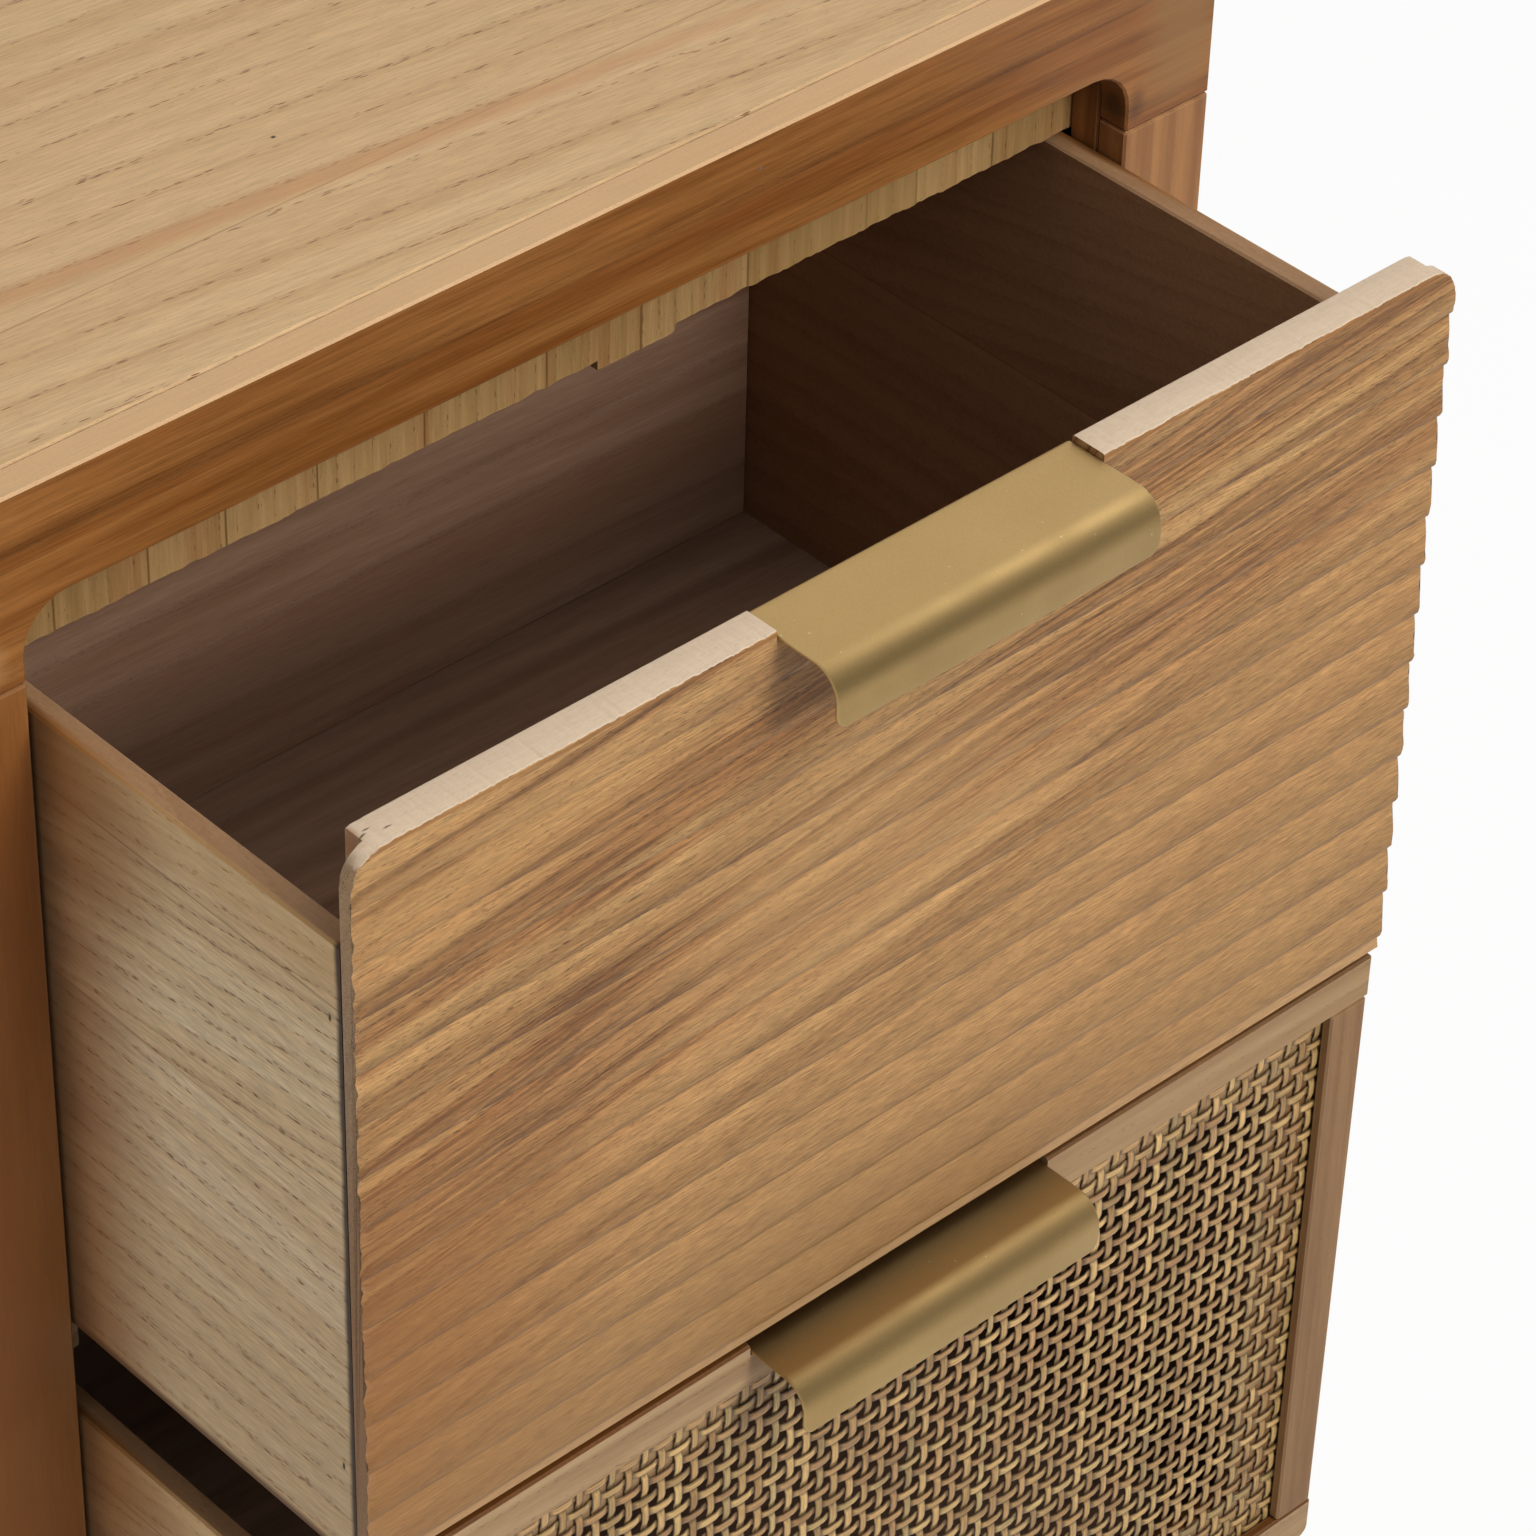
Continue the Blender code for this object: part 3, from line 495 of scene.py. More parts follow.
def rattan_strand(name, lie, pale, deep):
    """Split rattan core, scraped flat and woven dry: matt, fibrous, each strand with a shade of its own."""
    material, tree, shader = start_material(name)
    coords = add(tree, "TexCoord").node.outputs
    grain = add(tree, "Mapping", {"Vector": coords["Object"], "Scale": (PER_MM, PER_MM, PER_MM),
                                  "Rotation": tuple(math.radians(v) for v in lie)})
    # Fibres 0.6 mm wide and 12 mm long, and stains 30 mm long on some stretches.
    thread = add(tree, "Mapping", {"Vector": grain, "Scale": (1 / 12.0, 1 / 0.6, 1 / 0.6)})
    fibre = add(tree, "TexNoise", {"Vector": thread, "Scale": 1.0, "Detail": 2.0})
    patch = add(tree, "Mapping", {"Vector": grain, "Scale": (1 / 30.0, 1 / 5.0, 1 / 5.0)})
    stain = add(tree, "TexNoise", {"Vector": patch, "Scale": 1.0, "Detail": 1.0})
    tint = add(tree, "Attribute", attribute_name="tint").node.outputs["Fac"]
    edge = add(tree, "Attribute", attribute_name="edge").node.outputs["Fac"]
    hue = add(tree, "Math", {0: tint, 1: 7.3}, operation="MULTIPLY")
    hue = add(tree, "Math", {0: hue}, operation="FRACT")
    share = add(tree, "Math", {0: tint, 1: 0.45, 2: stain}, operation="MULTIPLY_ADD")
    share = add(tree, "MapRange", {"Value": share, "From Min": 0.45, "From Max": 1.0})
    tone = add(tree, "Mix", {"Factor": share, "A": opaque(pale), "B": opaque(deep)}, data_type="RGBA")
    ruddy = add(tree, "MapRange", {"Value": hue, "From Min": 0.72, "From Max": 1.0, "To Max": 0.4})
    tone = add(tree, "Mix", {"Factor": ruddy, "A": tone, "B": opaque(linear("#a06c48"))}, data_type="RGBA")
    olive = add(tree, "MapRange", {"Value": hue, "From Min": 0.3, "From Max": 0.0, "To Max": 0.5})
    tone = add(tree, "Mix", {"Factor": olive, "A": tone, "B": opaque(linear("#a3935f"))}, data_type="RGBA")
    dull = add(tree, "MapRange", {"Value": stain, "From Min": 0.58, "From Max": 0.75, "To Max": 0.35})
    tone = add(tree, "Mix", {"Factor": dull, "A": tone, "B": opaque(linear("#85704f"))}, data_type="RGBA")
    shade = add(tree, "MapRange", {"Value": fibre, "From Min": 0.25, "From Max": 0.75, "To Min": 0.58,
                                   "To Max": 1.32})
    tone = add(tree, "VectorMath", {0: tone, "Scale": shade}, operation="SCALE")
    # The strand darkens along its two thin edges; painted shade darkens it where it dips under a crossing.
    edge_dark_and_crossing_shade = add(tree, "MapRange", {"Value": edge, "From Min": 0.55, "From Max": 0.95, "To Max": 0.9})
    crossing_shade = add(tree, "Attribute", attribute_name="under").node.outputs["Fac"]
    crossing_shade = add(tree, "MapRange", {"Value": crossing_shade, "From Min": 0.5, "From Max": 0.95, "To Max": 0.65})
    edge_dark_and_crossing_shade = add(tree, "Math", {0: edge_dark_and_crossing_shade, 1: crossing_shade}, operation="MAXIMUM")
    tone = add(tree, "Mix", {"Factor": edge_dark_and_crossing_shade, "A": tone, "B": opaque(linear("#33200f"))}, data_type="RGBA")
    tree.links.new(tone, shader.inputs["Base Color"])
    gloss = add(tree, "MapRange", {"Value": fibre, "To Min": 0.42, "To Max": 0.68})
    tree.links.new(gloss, shader.inputs["Roughness"])
    bump = add(tree, "Bump", {"Height": fibre, "Strength": 0.5, "Distance": 0.08 * MM})
    tree.links.new(bump, shader.inputs["Normal"])
    return material


def satin_metal(name, tone, rough, grit, brushed):
    """Bent sheet with a satin face: a broad soft sheen, faint grit and a few bright pin pricks painted in as
    glints.
    """
    material, tree, shader = start_material(name)
    coords = add(tree, "TexCoord").node.outputs
    scaled = add(tree, "Mapping", {"Vector": coords["Object"],
                                   "Scale": (PER_MM / brushed, PER_MM, PER_MM)})
    # Grit of the satin finish, drawn a little coarser than life so that it shows.
    grain = add(tree, "TexNoise", {"Vector": scaled, "Scale": 1 / grit, "Detail": 2.0})
    cloud = add(tree, "TexNoise", {"Vector": coords["Object"], "Scale": 45.0, "Detail": 2.0})
    speck = add(tree, "TexVoronoi", {"Vector": coords["Object"], "Scale": 130.0})
    # Painted glints: a few pin pricks drawn near white.
    painted_glint = add(tree, "MapRange", {"Value": speck, "From Min": 0.05, "From Max": 0.02, "To Max": 0.5})
    shade = add(tree, "MapRange", {"Value": grain, "From Min": 0.3, "From Max": 0.7, "To Min": 0.93,
                                   "To Max": 1.06})
    base = add(tree, "VectorMath", {0: opaque(tone)[:3], "Scale": shade}, operation="SCALE")
    base = add(tree, "Mix", {"Factor": painted_glint, "A": base, "B": opaque(linear("#f3e6c4"))}, data_type="RGBA")
    # Painted highlight: the cut edges are drawn bright, as a gleam along them.
    rounded = add(tree, "Bevel", {"Radius": 0.8 * MM}, samples=2)
    plain = add(tree, "NewGeometry").node.outputs["Normal"]
    turned = add(tree, "VectorMath", {0: rounded, 1: plain}, operation="DOT_PRODUCT")
    pale_edge = add(tree, "MapRange", {"Value": turned, "From Min": 0.97, "From Max": 0.85, "To Max": 0.6})
    base = add(tree, "Mix", {"Factor": pale_edge, "A": base, "B": opaque(linear("#ead7a6"))}, data_type="RGBA")
    tree.links.new(base, shader.inputs["Base Color"])
    blend = add(tree, "Math", {0: grain, 1: 0.5, 2: cloud}, operation="MULTIPLY_ADD")
    gloss = add(tree, "MapRange", {"Value": blend, "From Min": 0.45, "From Max": 1.05,
                                   "To Min": rough - 0.06, "To Max": rough + 0.06})
    tree.links.new(gloss, shader.inputs["Roughness"])
    bump = add(tree, "Bump", {"Height": grain, "Strength": 0.25, "Distance": 0.03 * MM})
    tree.links.new(bump, shader.inputs["Normal"])
    shader.inputs["Metallic"].default_value = 1.0
    return material


def ribbed_front_points(sizes):
    """The ribbed front as outlines of depth and height carried across the drawer.

    The top rib is nearly flat; from it down each rib leans out evenly, turns a quarter of an ellipse at its
    nose and steps back; the outline then runs under the foot and up the grooved back. Near the top, heights
    are squeezed to a top line that is level, drops a quarter circle at both ends and lies lower where the
    pull is let in. The foot is cut off along a line that rises to the left. Past the drawer sides the back
    comes forward to the lip. Seeded ripples fray the ends and the top edge.
    """
    high = FRONT_HIGH.z - FRONT_LOW.z
    thick = FRONT_HIGH.y - FRONT_LOW.y
    half = FRONT_HIGH.x
    count = int(high / sizes.pitch)
    tops = high - sizes.pitch * np.arange(count)
    lean = np.linspace(0.0, 1.0, 9)[None, :]
    nose = (0.95 * sizes.depth, sizes.nose) * turn((1.0, 1.0), 1.0, 180.0, 270.0, 6)[None, 1:]
    start = np.where(np.arange(count) == 0, 0.1, 1.0)[:, None] * sizes.depth
    sloped = np.stack([start * (1 - lean),
                       tops[:, None] - lean * (sizes.pitch - sizes.nose)], axis=-1)
    round_nose = np.stack([nose[..., 0] + 0 * tops[:, None],
                           tops[:, None] - sizes.pitch + nose[..., 1]], axis=-1)
    ribs = np.concatenate([sloped, round_nose], axis=1).reshape(-1, 2)
    rest = high - count * sizes.pitch
    foot = np.array([[sizes.depth, rest], [sizes.depth * (1 - rest / sizes.pitch), 0.0], [thick, 0.0]])
    groove_low = BOTTOM_LOW.z - FRONT_LOW.z
    groove_high = BOTTOM_HIGH.z - FRONT_LOW.z
    deep = BOTTOM_LOW.y - FRONT_LOW.y
    back = np.array([[thick, groove_low], [deep, groove_low], [deep, groove_high], [thick, groove_high]])
    rear_arris = turn((thick - sizes.arris, high - sizes.arris), sizes.arris, 0.0, 90.0, 4)
    front_arris = turn((start[0, 0] + sizes.arris, high - sizes.arris), sizes.arris, 90.0, 180.0, 5)
    outline = np.concatenate([front_arris, ribs[1:], foot, back, rear_arris])

    # The floor of the notch under the pull, the reach below the top that is squeezed, and how far in the
    # cuts are frayed, chipped and run out.
    seat = 1.8 * MM
    reach = 15.2 * MM
    fringe = 1.6 * MM
    chipped = 16 * MM
    runout = 3 * MM
    end_zone = 0.7 * MM
    notch = UPPER_PULL_HIGH.x + FIT
    sunk = UPPER_PULL_HIGH.z - FRONT_LOW.z - seat
    swing = np.radians(np.linspace(0.0, 90.0, 12))
    ends = half - sizes.corner * (1 - np.cos(swing))
    run = np.linspace(half - sizes.corner, notch, 200)[1:]
    rebate = BOX_HALF - FIT
    sweep = np.sort(np.concatenate([ends, run, [rebate, rebate + HAIR]]))
    middle = np.linspace(-notch, notch, 14)[1:-1]
    x = np.concatenate([-sweep[::-1], [-notch + HAIR], middle, [notch - HAIR], sweep])
    over = np.clip((np.abs(x) - (half - sizes.corner)) / sizes.corner, 0.0, 1.0)
    top = high - sizes.corner * (1 - np.sqrt(1 - over ** 2))
    top = np.where(np.abs(x) < notch - HAIR / 2, sunk, top)
    fixed = high - reach
    y = np.broadcast_to(outline[:, 0], (len(x), len(outline))).copy()
    z = np.broadcast_to(outline[:, 1], (len(x), len(outline))).copy()
    squeeze = fixed + (z - fixed) * ((top - fixed) / (high - fixed))[:, None]
    z = np.where(z > fixed, squeeze, z)
    foot_line = np.interp(x, [-half, half], [sizes.foot_left, sizes.foot_right])
    z = np.maximum(z, foot_line[:, None])
    lipped = (np.abs(x) > rebate + HAIR / 2)[:, None] & (y > sizes.lip)
    y = np.where(lipped, sizes.lip + (y - thick) * 0.01, y)
    # The ribs run out at the left end into one ragged line.
    rib_fade = np.clip((-half + runout - x) / runout, 0.0, 1.0)[:, None]
    edge = 0.5 * sizes.depth + sizes.tear * ripple(z, 2.9 * MM, 11)
    y = np.where(y < sizes.depth + 0.01 * MM, y + rib_fade * (edge - y), y)

    # Frayed cuts: nibbles along the top edge, and rough saw marks at both ends.
    near_top = np.clip((z - (top[:, None] - fringe)) / fringe, 0.0, 1.0)
    nibble = 0.5 * ripple(x, 3.1 * MM, 3) + 0.8 * ripple(x, 0.8 * MM, 4)
    toward_face = np.clip(1.6 - 2.4 * y / thick, 0.1, 1.0)
    z = z - near_top * toward_face * sizes.tear * np.clip(nibble, -0.2, 1.0)[:, None]
    chewed = np.clip((-half + chipped - x) / chipped, 0.0, 1.0)[:, None] * near_top
    chip = 0.5 + 0.5 * ripple(x[:, None] * 1.3 + z * 0.9 + y, 1.4 * MM, 8)
    z = z - chewed * chip * 1.1 * MM
    saw = sizes.tear * (ripple(z, 1.1 * MM, 5) + 0.8 * ripple(z * 1.7 + y, 3.7 * MM, 6))
    at_end = np.clip((np.abs(x) - half + end_zone) / end_zone, 0.0, 1.0)[:, None]
    across = x[:, None] + np.sign(x)[:, None] * at_end * np.clip(saw, -0.5 * MM, 0.3 * MM)
    hand = 0.05 * MM * ripple(x, 27 * MM, 9)[:, None] * (y < sizes.depth + 0.1 * MM)
    return np.stack([across, FRONT_LOW.y + y + hand, FRONT_LOW.z + z], axis=-1)[None]


def strand_points(middles, path, sizes, width, phase, seed):
    """Woven strands as flat ovals carried along a wave.

    A strand keeps its middle line, with a slow wander, and its depth swings by the lift times a flattened
    cosine of its run over the pitch, so that it passes over one crossing and under the next; neighbours
    are half a wave apart. Returns across, along and depth, with the shade of each strand, how near a point
    is to its edge and how far it dips under.
    """
    rng = np.random.default_rng(seed)
    count = len(middles)
    swing = np.cos(np.pi * (path[None] / sizes.pitch + phase + np.arange(count)[:, None]))
    depth = sizes.lift * np.tanh(3.0 * swing) / math.tanh(3.0)
    wander = np.stack([ripple(path, 21 * MM, seed + 7 * i) for i in range(count)])
    middle = middles[:, None] + 0.22 * MM * wander + rng.uniform(-0.25, 0.25, (count, 1)) * MM
    wide = width * rng.uniform(0.88, 1.1, (count, 1)) * (1 + 0.06 * np.roll(wander, 5, axis=1))
    oval = np.array([[-0.5, 0.0], [-0.36, -0.42], [0.0, -0.52], [0.36, -0.42], [0.5, 0.0], [0.0, 0.45]])
    across = middle[..., None] + wide[..., None] * oval[:, 0]
    deep = depth[..., None] + sizes.thick * oval[:, 1]
    along = np.broadcast_to(path[None, :, None], across.shape)
    tint = np.broadcast_to(rng.uniform(0.0, 1.0, (count, 1, 1)), across.shape)
    edge = np.broadcast_to(np.abs(oval[:, 0]) * 2, across.shape)
    under = np.broadcast_to(0.5 - 0.5 * depth[..., None] / sizes.lift, across.shape)
    return across, along, deep, {"tint": tint, "edge": edge, "under": under}


def pull_points(low, high, sizes):
    """A bent pull as a flat rounded outline carried along the bent line of its sheet.

    The line runs up the flange behind the front, round the rear bend, along the plate, round the front bend
    and down the lip. The outline is as wide as the pull with half-round ends; towards both free edges its
    width follows the corner circle and its thickness closes in a half circle.
    """
    mid = sizes.thick / 2
    rear, front = high.y - mid, low.y + mid
    top = high.z - mid
    flange_end = high.z - 16.0 * MM
    small, large = sizes.flange_bend - mid, sizes.bend - mid
    up = np.linspace(flange_end, top - small, 14)
    back = turn((rear - small, top - small), small, 0.0, 90.0, 7)
    plate = np.linspace(rear - small, front + large, 14)[1:-1]
    bend = turn((front + large, top - large), large, 90.0, 180.0, 22)
    down = np.linspace(top - large, low.z, 14)[1:]
    line = np.concatenate([np.stack([0 * up + rear, up], axis=-1)[:-1], back,
                           np.stack([plate, 0 * plate + top], axis=-1), bend,
                           np.stack([0 * down + front, down], axis=-1)])
    steps = np.concatenate([[0.0], np.cumsum(np.linalg.norm(np.diff(line, axis=0), axis=1))])
    total = steps[-1]
    close = np.concatenate([mid * (1 - np.cos(np.radians([4.0, 20.0, 40.0, 60.0, 90.0]))),
                            sizes.corner * (1 - np.cos(np.radians(np.linspace(25.0, 90.0, 9))))])
    run = np.unique(np.round(np.concatenate([close, total - close, steps[(steps > sizes.corner) &
                                             (steps < total - sizes.corner)]]), 7))
    y, z = np.interp(run, steps, line[:, 0]), np.interp(run, steps, line[:, 1])
    tangent = np.stack([np.gradient(y, run), np.gradient(z, run)], axis=-1)
    tangent /= np.linalg.norm(tangent, axis=1, keepdims=True)
    to_edge = np.minimum(run, total - run)
    corner = np.clip(1 - to_edge / sizes.corner, 0.0, 1.0)
    half = high.x - sizes.corner * (1 - np.sqrt(1 - corner ** 2))
    edge = np.clip(1 - to_edge / mid, 0.0, 1.0)
    thick = mid * np.sqrt(1 - edge ** 2)
    right = turn((0.0, 0.0), 1.0, -90.0, 90.0, 7)
    left = turn((0.0, 0.0), 1.0, 90.0, 270.0, 7)
    across = np.concatenate([(half - mid)[:, None] + mid * right[:, 0],
                             (mid - half)[:, None] + mid * left[:, 0]], axis=1)
    out = np.concatenate([thick[:, None] * right[:, 1], thick[:, None] * left[:, 1]], axis=1)
    # Outwards is the way of the line turned a quarter about the width.
    normal = np.stack([tangent[:, 1], -tangent[:, 0]], axis=-1)
    return np.stack([across, y[:, None] + out * normal[:, :1], z[:, None] + out * normal[:, 1:]],
                    axis=-1)[None]


def batten_points():
    """The rough batten as a rectangle of depth and height carried across, with a torn lower edge.

    The lower edge is level with a short stave that hangs 3 mm lower left of the middle, and seeded ripples
    tear it; the front face ripples a little as a saw leaves it.
    """
    x = np.sort(np.concatenate([np.linspace(BATTEN_LOW.x, BATTEN_HIGH.x, 480),
                                np.array([15.6, 15.601, 46.0, 47.3]) * MM]))
    hang = np.where((x > 15.6005 * MM) & (x <= 46.0 * MM), 3.2 * MM, 0.0)
    hang = np.where((x > 46.0 * MM) & (x < 47.3 * MM), 1.5 * MM, hang)
    torn = 0.35 * MM * ripple(x, 5.0 * MM, 21) + 0.25 * MM * ripple(x, 1.7 * MM, 22)
    lower = BATTEN_LOW.z - hang + torn
    upper = np.full_like(x, BATTEN_HIGH.z)
    saw = 0.10 * MM * ripple(x, 2.2 * MM, 23)
    arris = 0.5 * MM
    front = BATTEN_LOW.y + saw
    rear = np.full_like(x, BATTEN_HIGH.y)
    sides = [(front, upper), (front + 0.5 * saw, (upper + lower) / 2), (front, lower + arris),
             (front + arris, lower), (rear, lower + 0.3 * torn), (rear, upper)]
    depth = np.stack([d for d, _ in sides], axis=-1)
    height = np.stack([h for _, h in sides], axis=-1)
    return np.stack([np.broadcast_to(x[:, None], depth.shape), depth, height], axis=-1)[None]


def head_points(centres, outward, radius, stations, slim=1.0):
    """Round heads: circles about each centre whose radius and height follow a short list of stations.

    A station is a share of the radius, a height along the outward axis, and how far the circle is drawn in
    to a cross. slim narrows the circle from side to side.
    """
    outward = np.asarray(outward, dtype=float)
    side = np.cross(outward, [0.0, 0.0, 1.0])
    above = np.cross(outward, side)
    side = slim * side
    angles = np.linspace(0.0, 2 * np.pi, 24, endpoint=False)
    cosine, sine = np.cos(angles), np.sin(angles)
    bar = np.minimum(0.6 / np.maximum(np.abs(cosine), 1e-6), 0.16 / np.maximum(np.abs(sine), 1e-6))
    post = np.minimum(0.6 / np.maximum(np.abs(sine), 1e-6), 0.16 / np.maximum(np.abs(cosine), 1e-6))
    cross = np.maximum(bar, post)
    share, height, drawn = np.array(stations).T
    spread = radius * (share[:, None] * (1 - drawn[:, None]) + drawn[:, None] * cross)
    ring = (spread * cosine)[..., None] * side + (spread * sine)[..., None] * above
    ring = ring + height[:, None, None] * outward
    return np.asarray(centres)[:, None, None, :] + ring[None]


class NIGHTSTAND_OT_cabinet(bpy.types.Operator):
    """Woods of the top, the face frame, the cabinet sides, the legs and the inner strips"""

    bl_idname = "nightstand.cabinet"
    bl_label = "Cabinet woods"

    def execute(self, context):
        tones = context.scene.nightstand_colours
        top = pair(tones, "top")
        rail = pair(tones, "rail")
        panel = pair(tones, "panel")
        inner = pair(tones, "inner")
        ends = pair(tones, "end")
        # Paulownia, planed and clear-lacquered: pale, with thin dashed ring lines and one rosy streak.
        finish_nodes(wood("planed lacquered paulownia top", (0.0, 0.0, 4.9), top, ring=18.5,
                          heart=(-420.0, 640.0), sway=4.0, uneven=0.3, line=0.35, pores=0.8, speckle=0.13,
                          porous=0.16, dash=(6.0, 0.75), fleck=0.22,
                          band=22.0, contrast=0.8, blush=0.15, rough=0.5, ink="#7a4d28", wear=0.1,
                          faces=[((1.0, 0.0, 0.0), ends, 0.1, 1.0)], joint=("Y", -32.0, 0.0),
                          marks=[((-0.078, -0.026, 0.690), (330.0, 6.5, 40.0), "#bd8557", 0.5),
                                 ((-0.0516, -0.0026, 0.690), (1.3, 1.0, 1.0), "#3a2413", 1.0)]),
                     ["top_panel"])
        # Paulownia stained orange-brown and wiped: two broad bands with a dark line between, few open
        # pores; the top edge stays pale.
        finish_nodes(wood("stained wiped paulownia rail", (-90.0, 0.0, 0.0), rail, ring=40.0,
                          heart=(-289.5, 90.0), sway=0.6, uneven=0.0, line=0.9, pores=0.12, band=7.0,
                          contrast=0.7, fleck=0.34, thread=(26.0, 0.6), blush=0.1, rough=0.5, ink="#4f2b0f",
                          wear=0.1,
                          faces=[((0.0, 0.0, 1.0), pair(tones, "strip"), 0.0, 0.3)],
                          marks=[((0.0578, -0.0958, 0.6788), (1.0, 1.0, 1.0), "#6f6a66", 0.8),
                                 ((0.2400, -0.0958, 0.6600), (26.0, 46.0, 60.0), "#8d683f", 0.7),
                                 ((-0.2320, -0.0958, 0.6370), (12.0, 14.0, 60.0), "#b08658", 0.5),
                                 # Painted shade: a near-black spot in the hollow of the right rounded corner.
                                 ((0.2200, -0.0900, 0.6340), (7.0, 12.0, 9.0), "#1d120a", 0.9)]),
                     ["front_top_rail", "front_bottom_rail"])
        # The same stain on upright grain: close dark lines and a reddish blush.
        finish_nodes(wood("stained wiped paulownia post", (0.0, 90.0, 0.0), rail, ring=9.0,
                          heart=(-400.0, 200.0), sway=4.0, line=0.5, pores=0.25, band=8.0, contrast=1.15,
                          blush=0.3, rough=0.5, ink="#4f2b0f",
                          # Painted shade darkens the left post; painted light brightens the top of the right
                          # post.
                          marks=[((-0.235, -0.0958, 0.42), (330.0, 30.0, 40.0), "#6a3f19", 0.55),
                                 ((0.238, -0.0958, 0.60), (90.0, 40.0, 40.0), "#c69c6e", 0.18)]),
                     ["front_post_left", "front_post_right", "front_cleat_left", "front_cleat_right"])
        # Paulownia planed and oiled: mid-brown upright bands with open pores.
        finish_nodes(wood("planed oiled paulownia panel", (0.0, 90.0, 2.0), panel, ring=17.0,
                          heart=(-500.0, 0.0), line=0.45, pores=0.6, band=22.0, rough=0.55,
                          faces=[((0.0, 0.0, 1.0), ends, 0.1, 1.0)]),
                     ["side_panel_left", "side_panel_right", "leg_front_left", "leg_front_right",
                      "leg_rear_left", "leg_rear_right"])
        # Poplar plywood, sanded: pale, with broad wandering bands.
        finish_nodes(wood("sanded poplar plywood back", (-90.0, 0.0, 1.0), inner, ring=30.0,
                          heart=(900.0, 0.0), sway=18.0, line=0.35, pores=0.45, band=40.0, contrast=0.8,
                          rough=0.62),
                     ["back_panel", "bottom_panel"])
        # Pine sawn and left bare: pale and dull, with narrow even rings; strips lie, cleats stand.
        finish_nodes(wood("sawn bare pine strip", (0.0, 0.0, -90.0), inner, ring=6.0, heart=(0.0, -200.0),
                          line=0.4, pores=0.15, band=9.0, rough=0.7),
                     [f"{part}_{level}_{side}" for part in ("runner", "guide", "stop")
                      for level in ("upper", "lower") for side in ("left", "right")]
                     + ["kicker_left", "kicker_right"])
        finish_nodes(wood("sawn bare pine cleat", (0.0, 90.0, 0.0), inner, ring=6.0, heart=(0.0, 260.0),
                          line=0.4, pores=0.15, band=9.0, rough=0.7),
                     ["rear_cleat_left", "rear_cleat_right"])
        return {"FINISHED"}


class NIGHTSTAND_OT_batten(bpy.types.Operator):
    """Rough batten of upright staves under the top"""

    bl_idname = "nightstand.batten"
    bl_label = "Rough batten"

    def execute(self, context):
        tones = context.scene.nightstand_colours
        # Core board of glued staves, sawn and left raw: short upright grain, torn pores, dark glue lines.
        finish = wood("raw sawn stave core board", (0.0, 90.0, 0.0), pair(tones, "batten"),
                      ring=7.0, heart=(-60.0, 150.0), line=0.4, pores=0.6, band=5.0, contrast=1.2, blush=0.35,
                      rough=0.75, ink="#5d3b17", staves=38.0,
                      marks=[((0.13, -0.071, 0.63), (60.0, 40.0, 70.0), "#cba46a", 0.3)])
        make_piece("cross_batten_staves", batten_points(), finish, "carcass",
                   ["cross_batten"], sharp=30.0)
        return {"FINISHED"}


class NIGHTSTAND_OT_ribbed_front(bpy.types.Operator):
    """Ribbed front of the upper drawer"""

    bl_idname = "nightstand.ribbed_front"
    bl_label = "Ribbed front"

    def execute(self, context):
        tones = context.scene.nightstand_colours
        lining = pair(tones, "lining")
        raw = pair(tones, "raw")
        ends = pair(tones, "sawn")
        # Paulownia moulded into ribs: the rings lean through the board, so their dark streaks arch over it
        # and step at every rib.
        finish = wood("moulded oiled paulownia front", (-90.0, 0.0, 0.0),
                      pair(tones, "front"), ring=5.0, heart=(400.0, 1136.0), taper=0.04,
                      sway=1.4, bend=0.25, uneven=0.6, line=0.9, porous=0.15, pores=0.7, speckle=0.24,
                      dash=(4.5, 0.6), fleck=0.5, thread=(8.0, 0.5), streak=0.65, band=4.0, stretch=0.013,
                      contrast=0.52, blush=0.12, rough=0.55, ink="#4f2d17",
                      # comb paints shade on each rib, pale below the step and darker towards the nose.
                      comb=(FRONT_HIGH.z * PER_MM, context.scene.nightstand_front.pitch * PER_MM, 2.5),
                      faces=[((0.0, 1.0, 0.0), lining, 0.0, 0.3), ((1.0, 0.0, 0.0), ends, 0.3, 1.4),
                             ((0.0, 0.0, 1.0), raw, 0.3, 0.15)],
                      marks=[((-0.235, -0.235, 0.45), (150.0, 130.0, 90.0), "#865525", 0.58),
                             ((-0.030, -0.235, 0.55), (110.0, 60.0, 90.0), "#c89f6a", 0.25),
                             ((-0.050, -0.235, 0.39), (280.0, 58.0, 90.0), "#86633b", 0.45),
                             ((-0.180, -0.235, 0.622), (130.0, 32.0, 90.0), "#c1925a", 0.2),
                             ((0.0, FRONT_LOW.y, FRONT_HIGH.z - 1.2 * MM), (LONG, 1.0, 0.9), "#8a5a2c", 0.6),
                             ((-0.2125, -0.231, 0.643), (4.0, 5.0, 4.0), "#94795c", 0.6),
                             ((0.0, FRONT_LOW.y, FRONT_LOW.z + 4.5 * MM), (LONG, 3.5, 4.0),
                              "#c0a07c", 0.3),
                             ((-0.2075, -0.226, 0.642), (3.0, 11.0, 8.0), "#9a6231", 0.85),
                             ((-0.2060, -0.2288, 0.648), (2.4, 3.0, 0.7), "#4a3220", 0.9),
                             ((-0.2035, -0.2275, 0.648), (2.0, 3.0, 0.5), "#5a3f28", 0.9),
                             ((-0.1986, -0.2305, 0.648), (2.4, 3.0, 0.5), "#4a3220", 0.9)],
                      fade=((-0.3, 0.0, 1.0), 440.0, 580.0), wear=0.15)
        make_piece("upper_front_ribbed", ribbed_front_points(context.scene.nightstand_front), finish,
                   "upper_drawer", ["upper_front"])
        return {"FINISHED"}


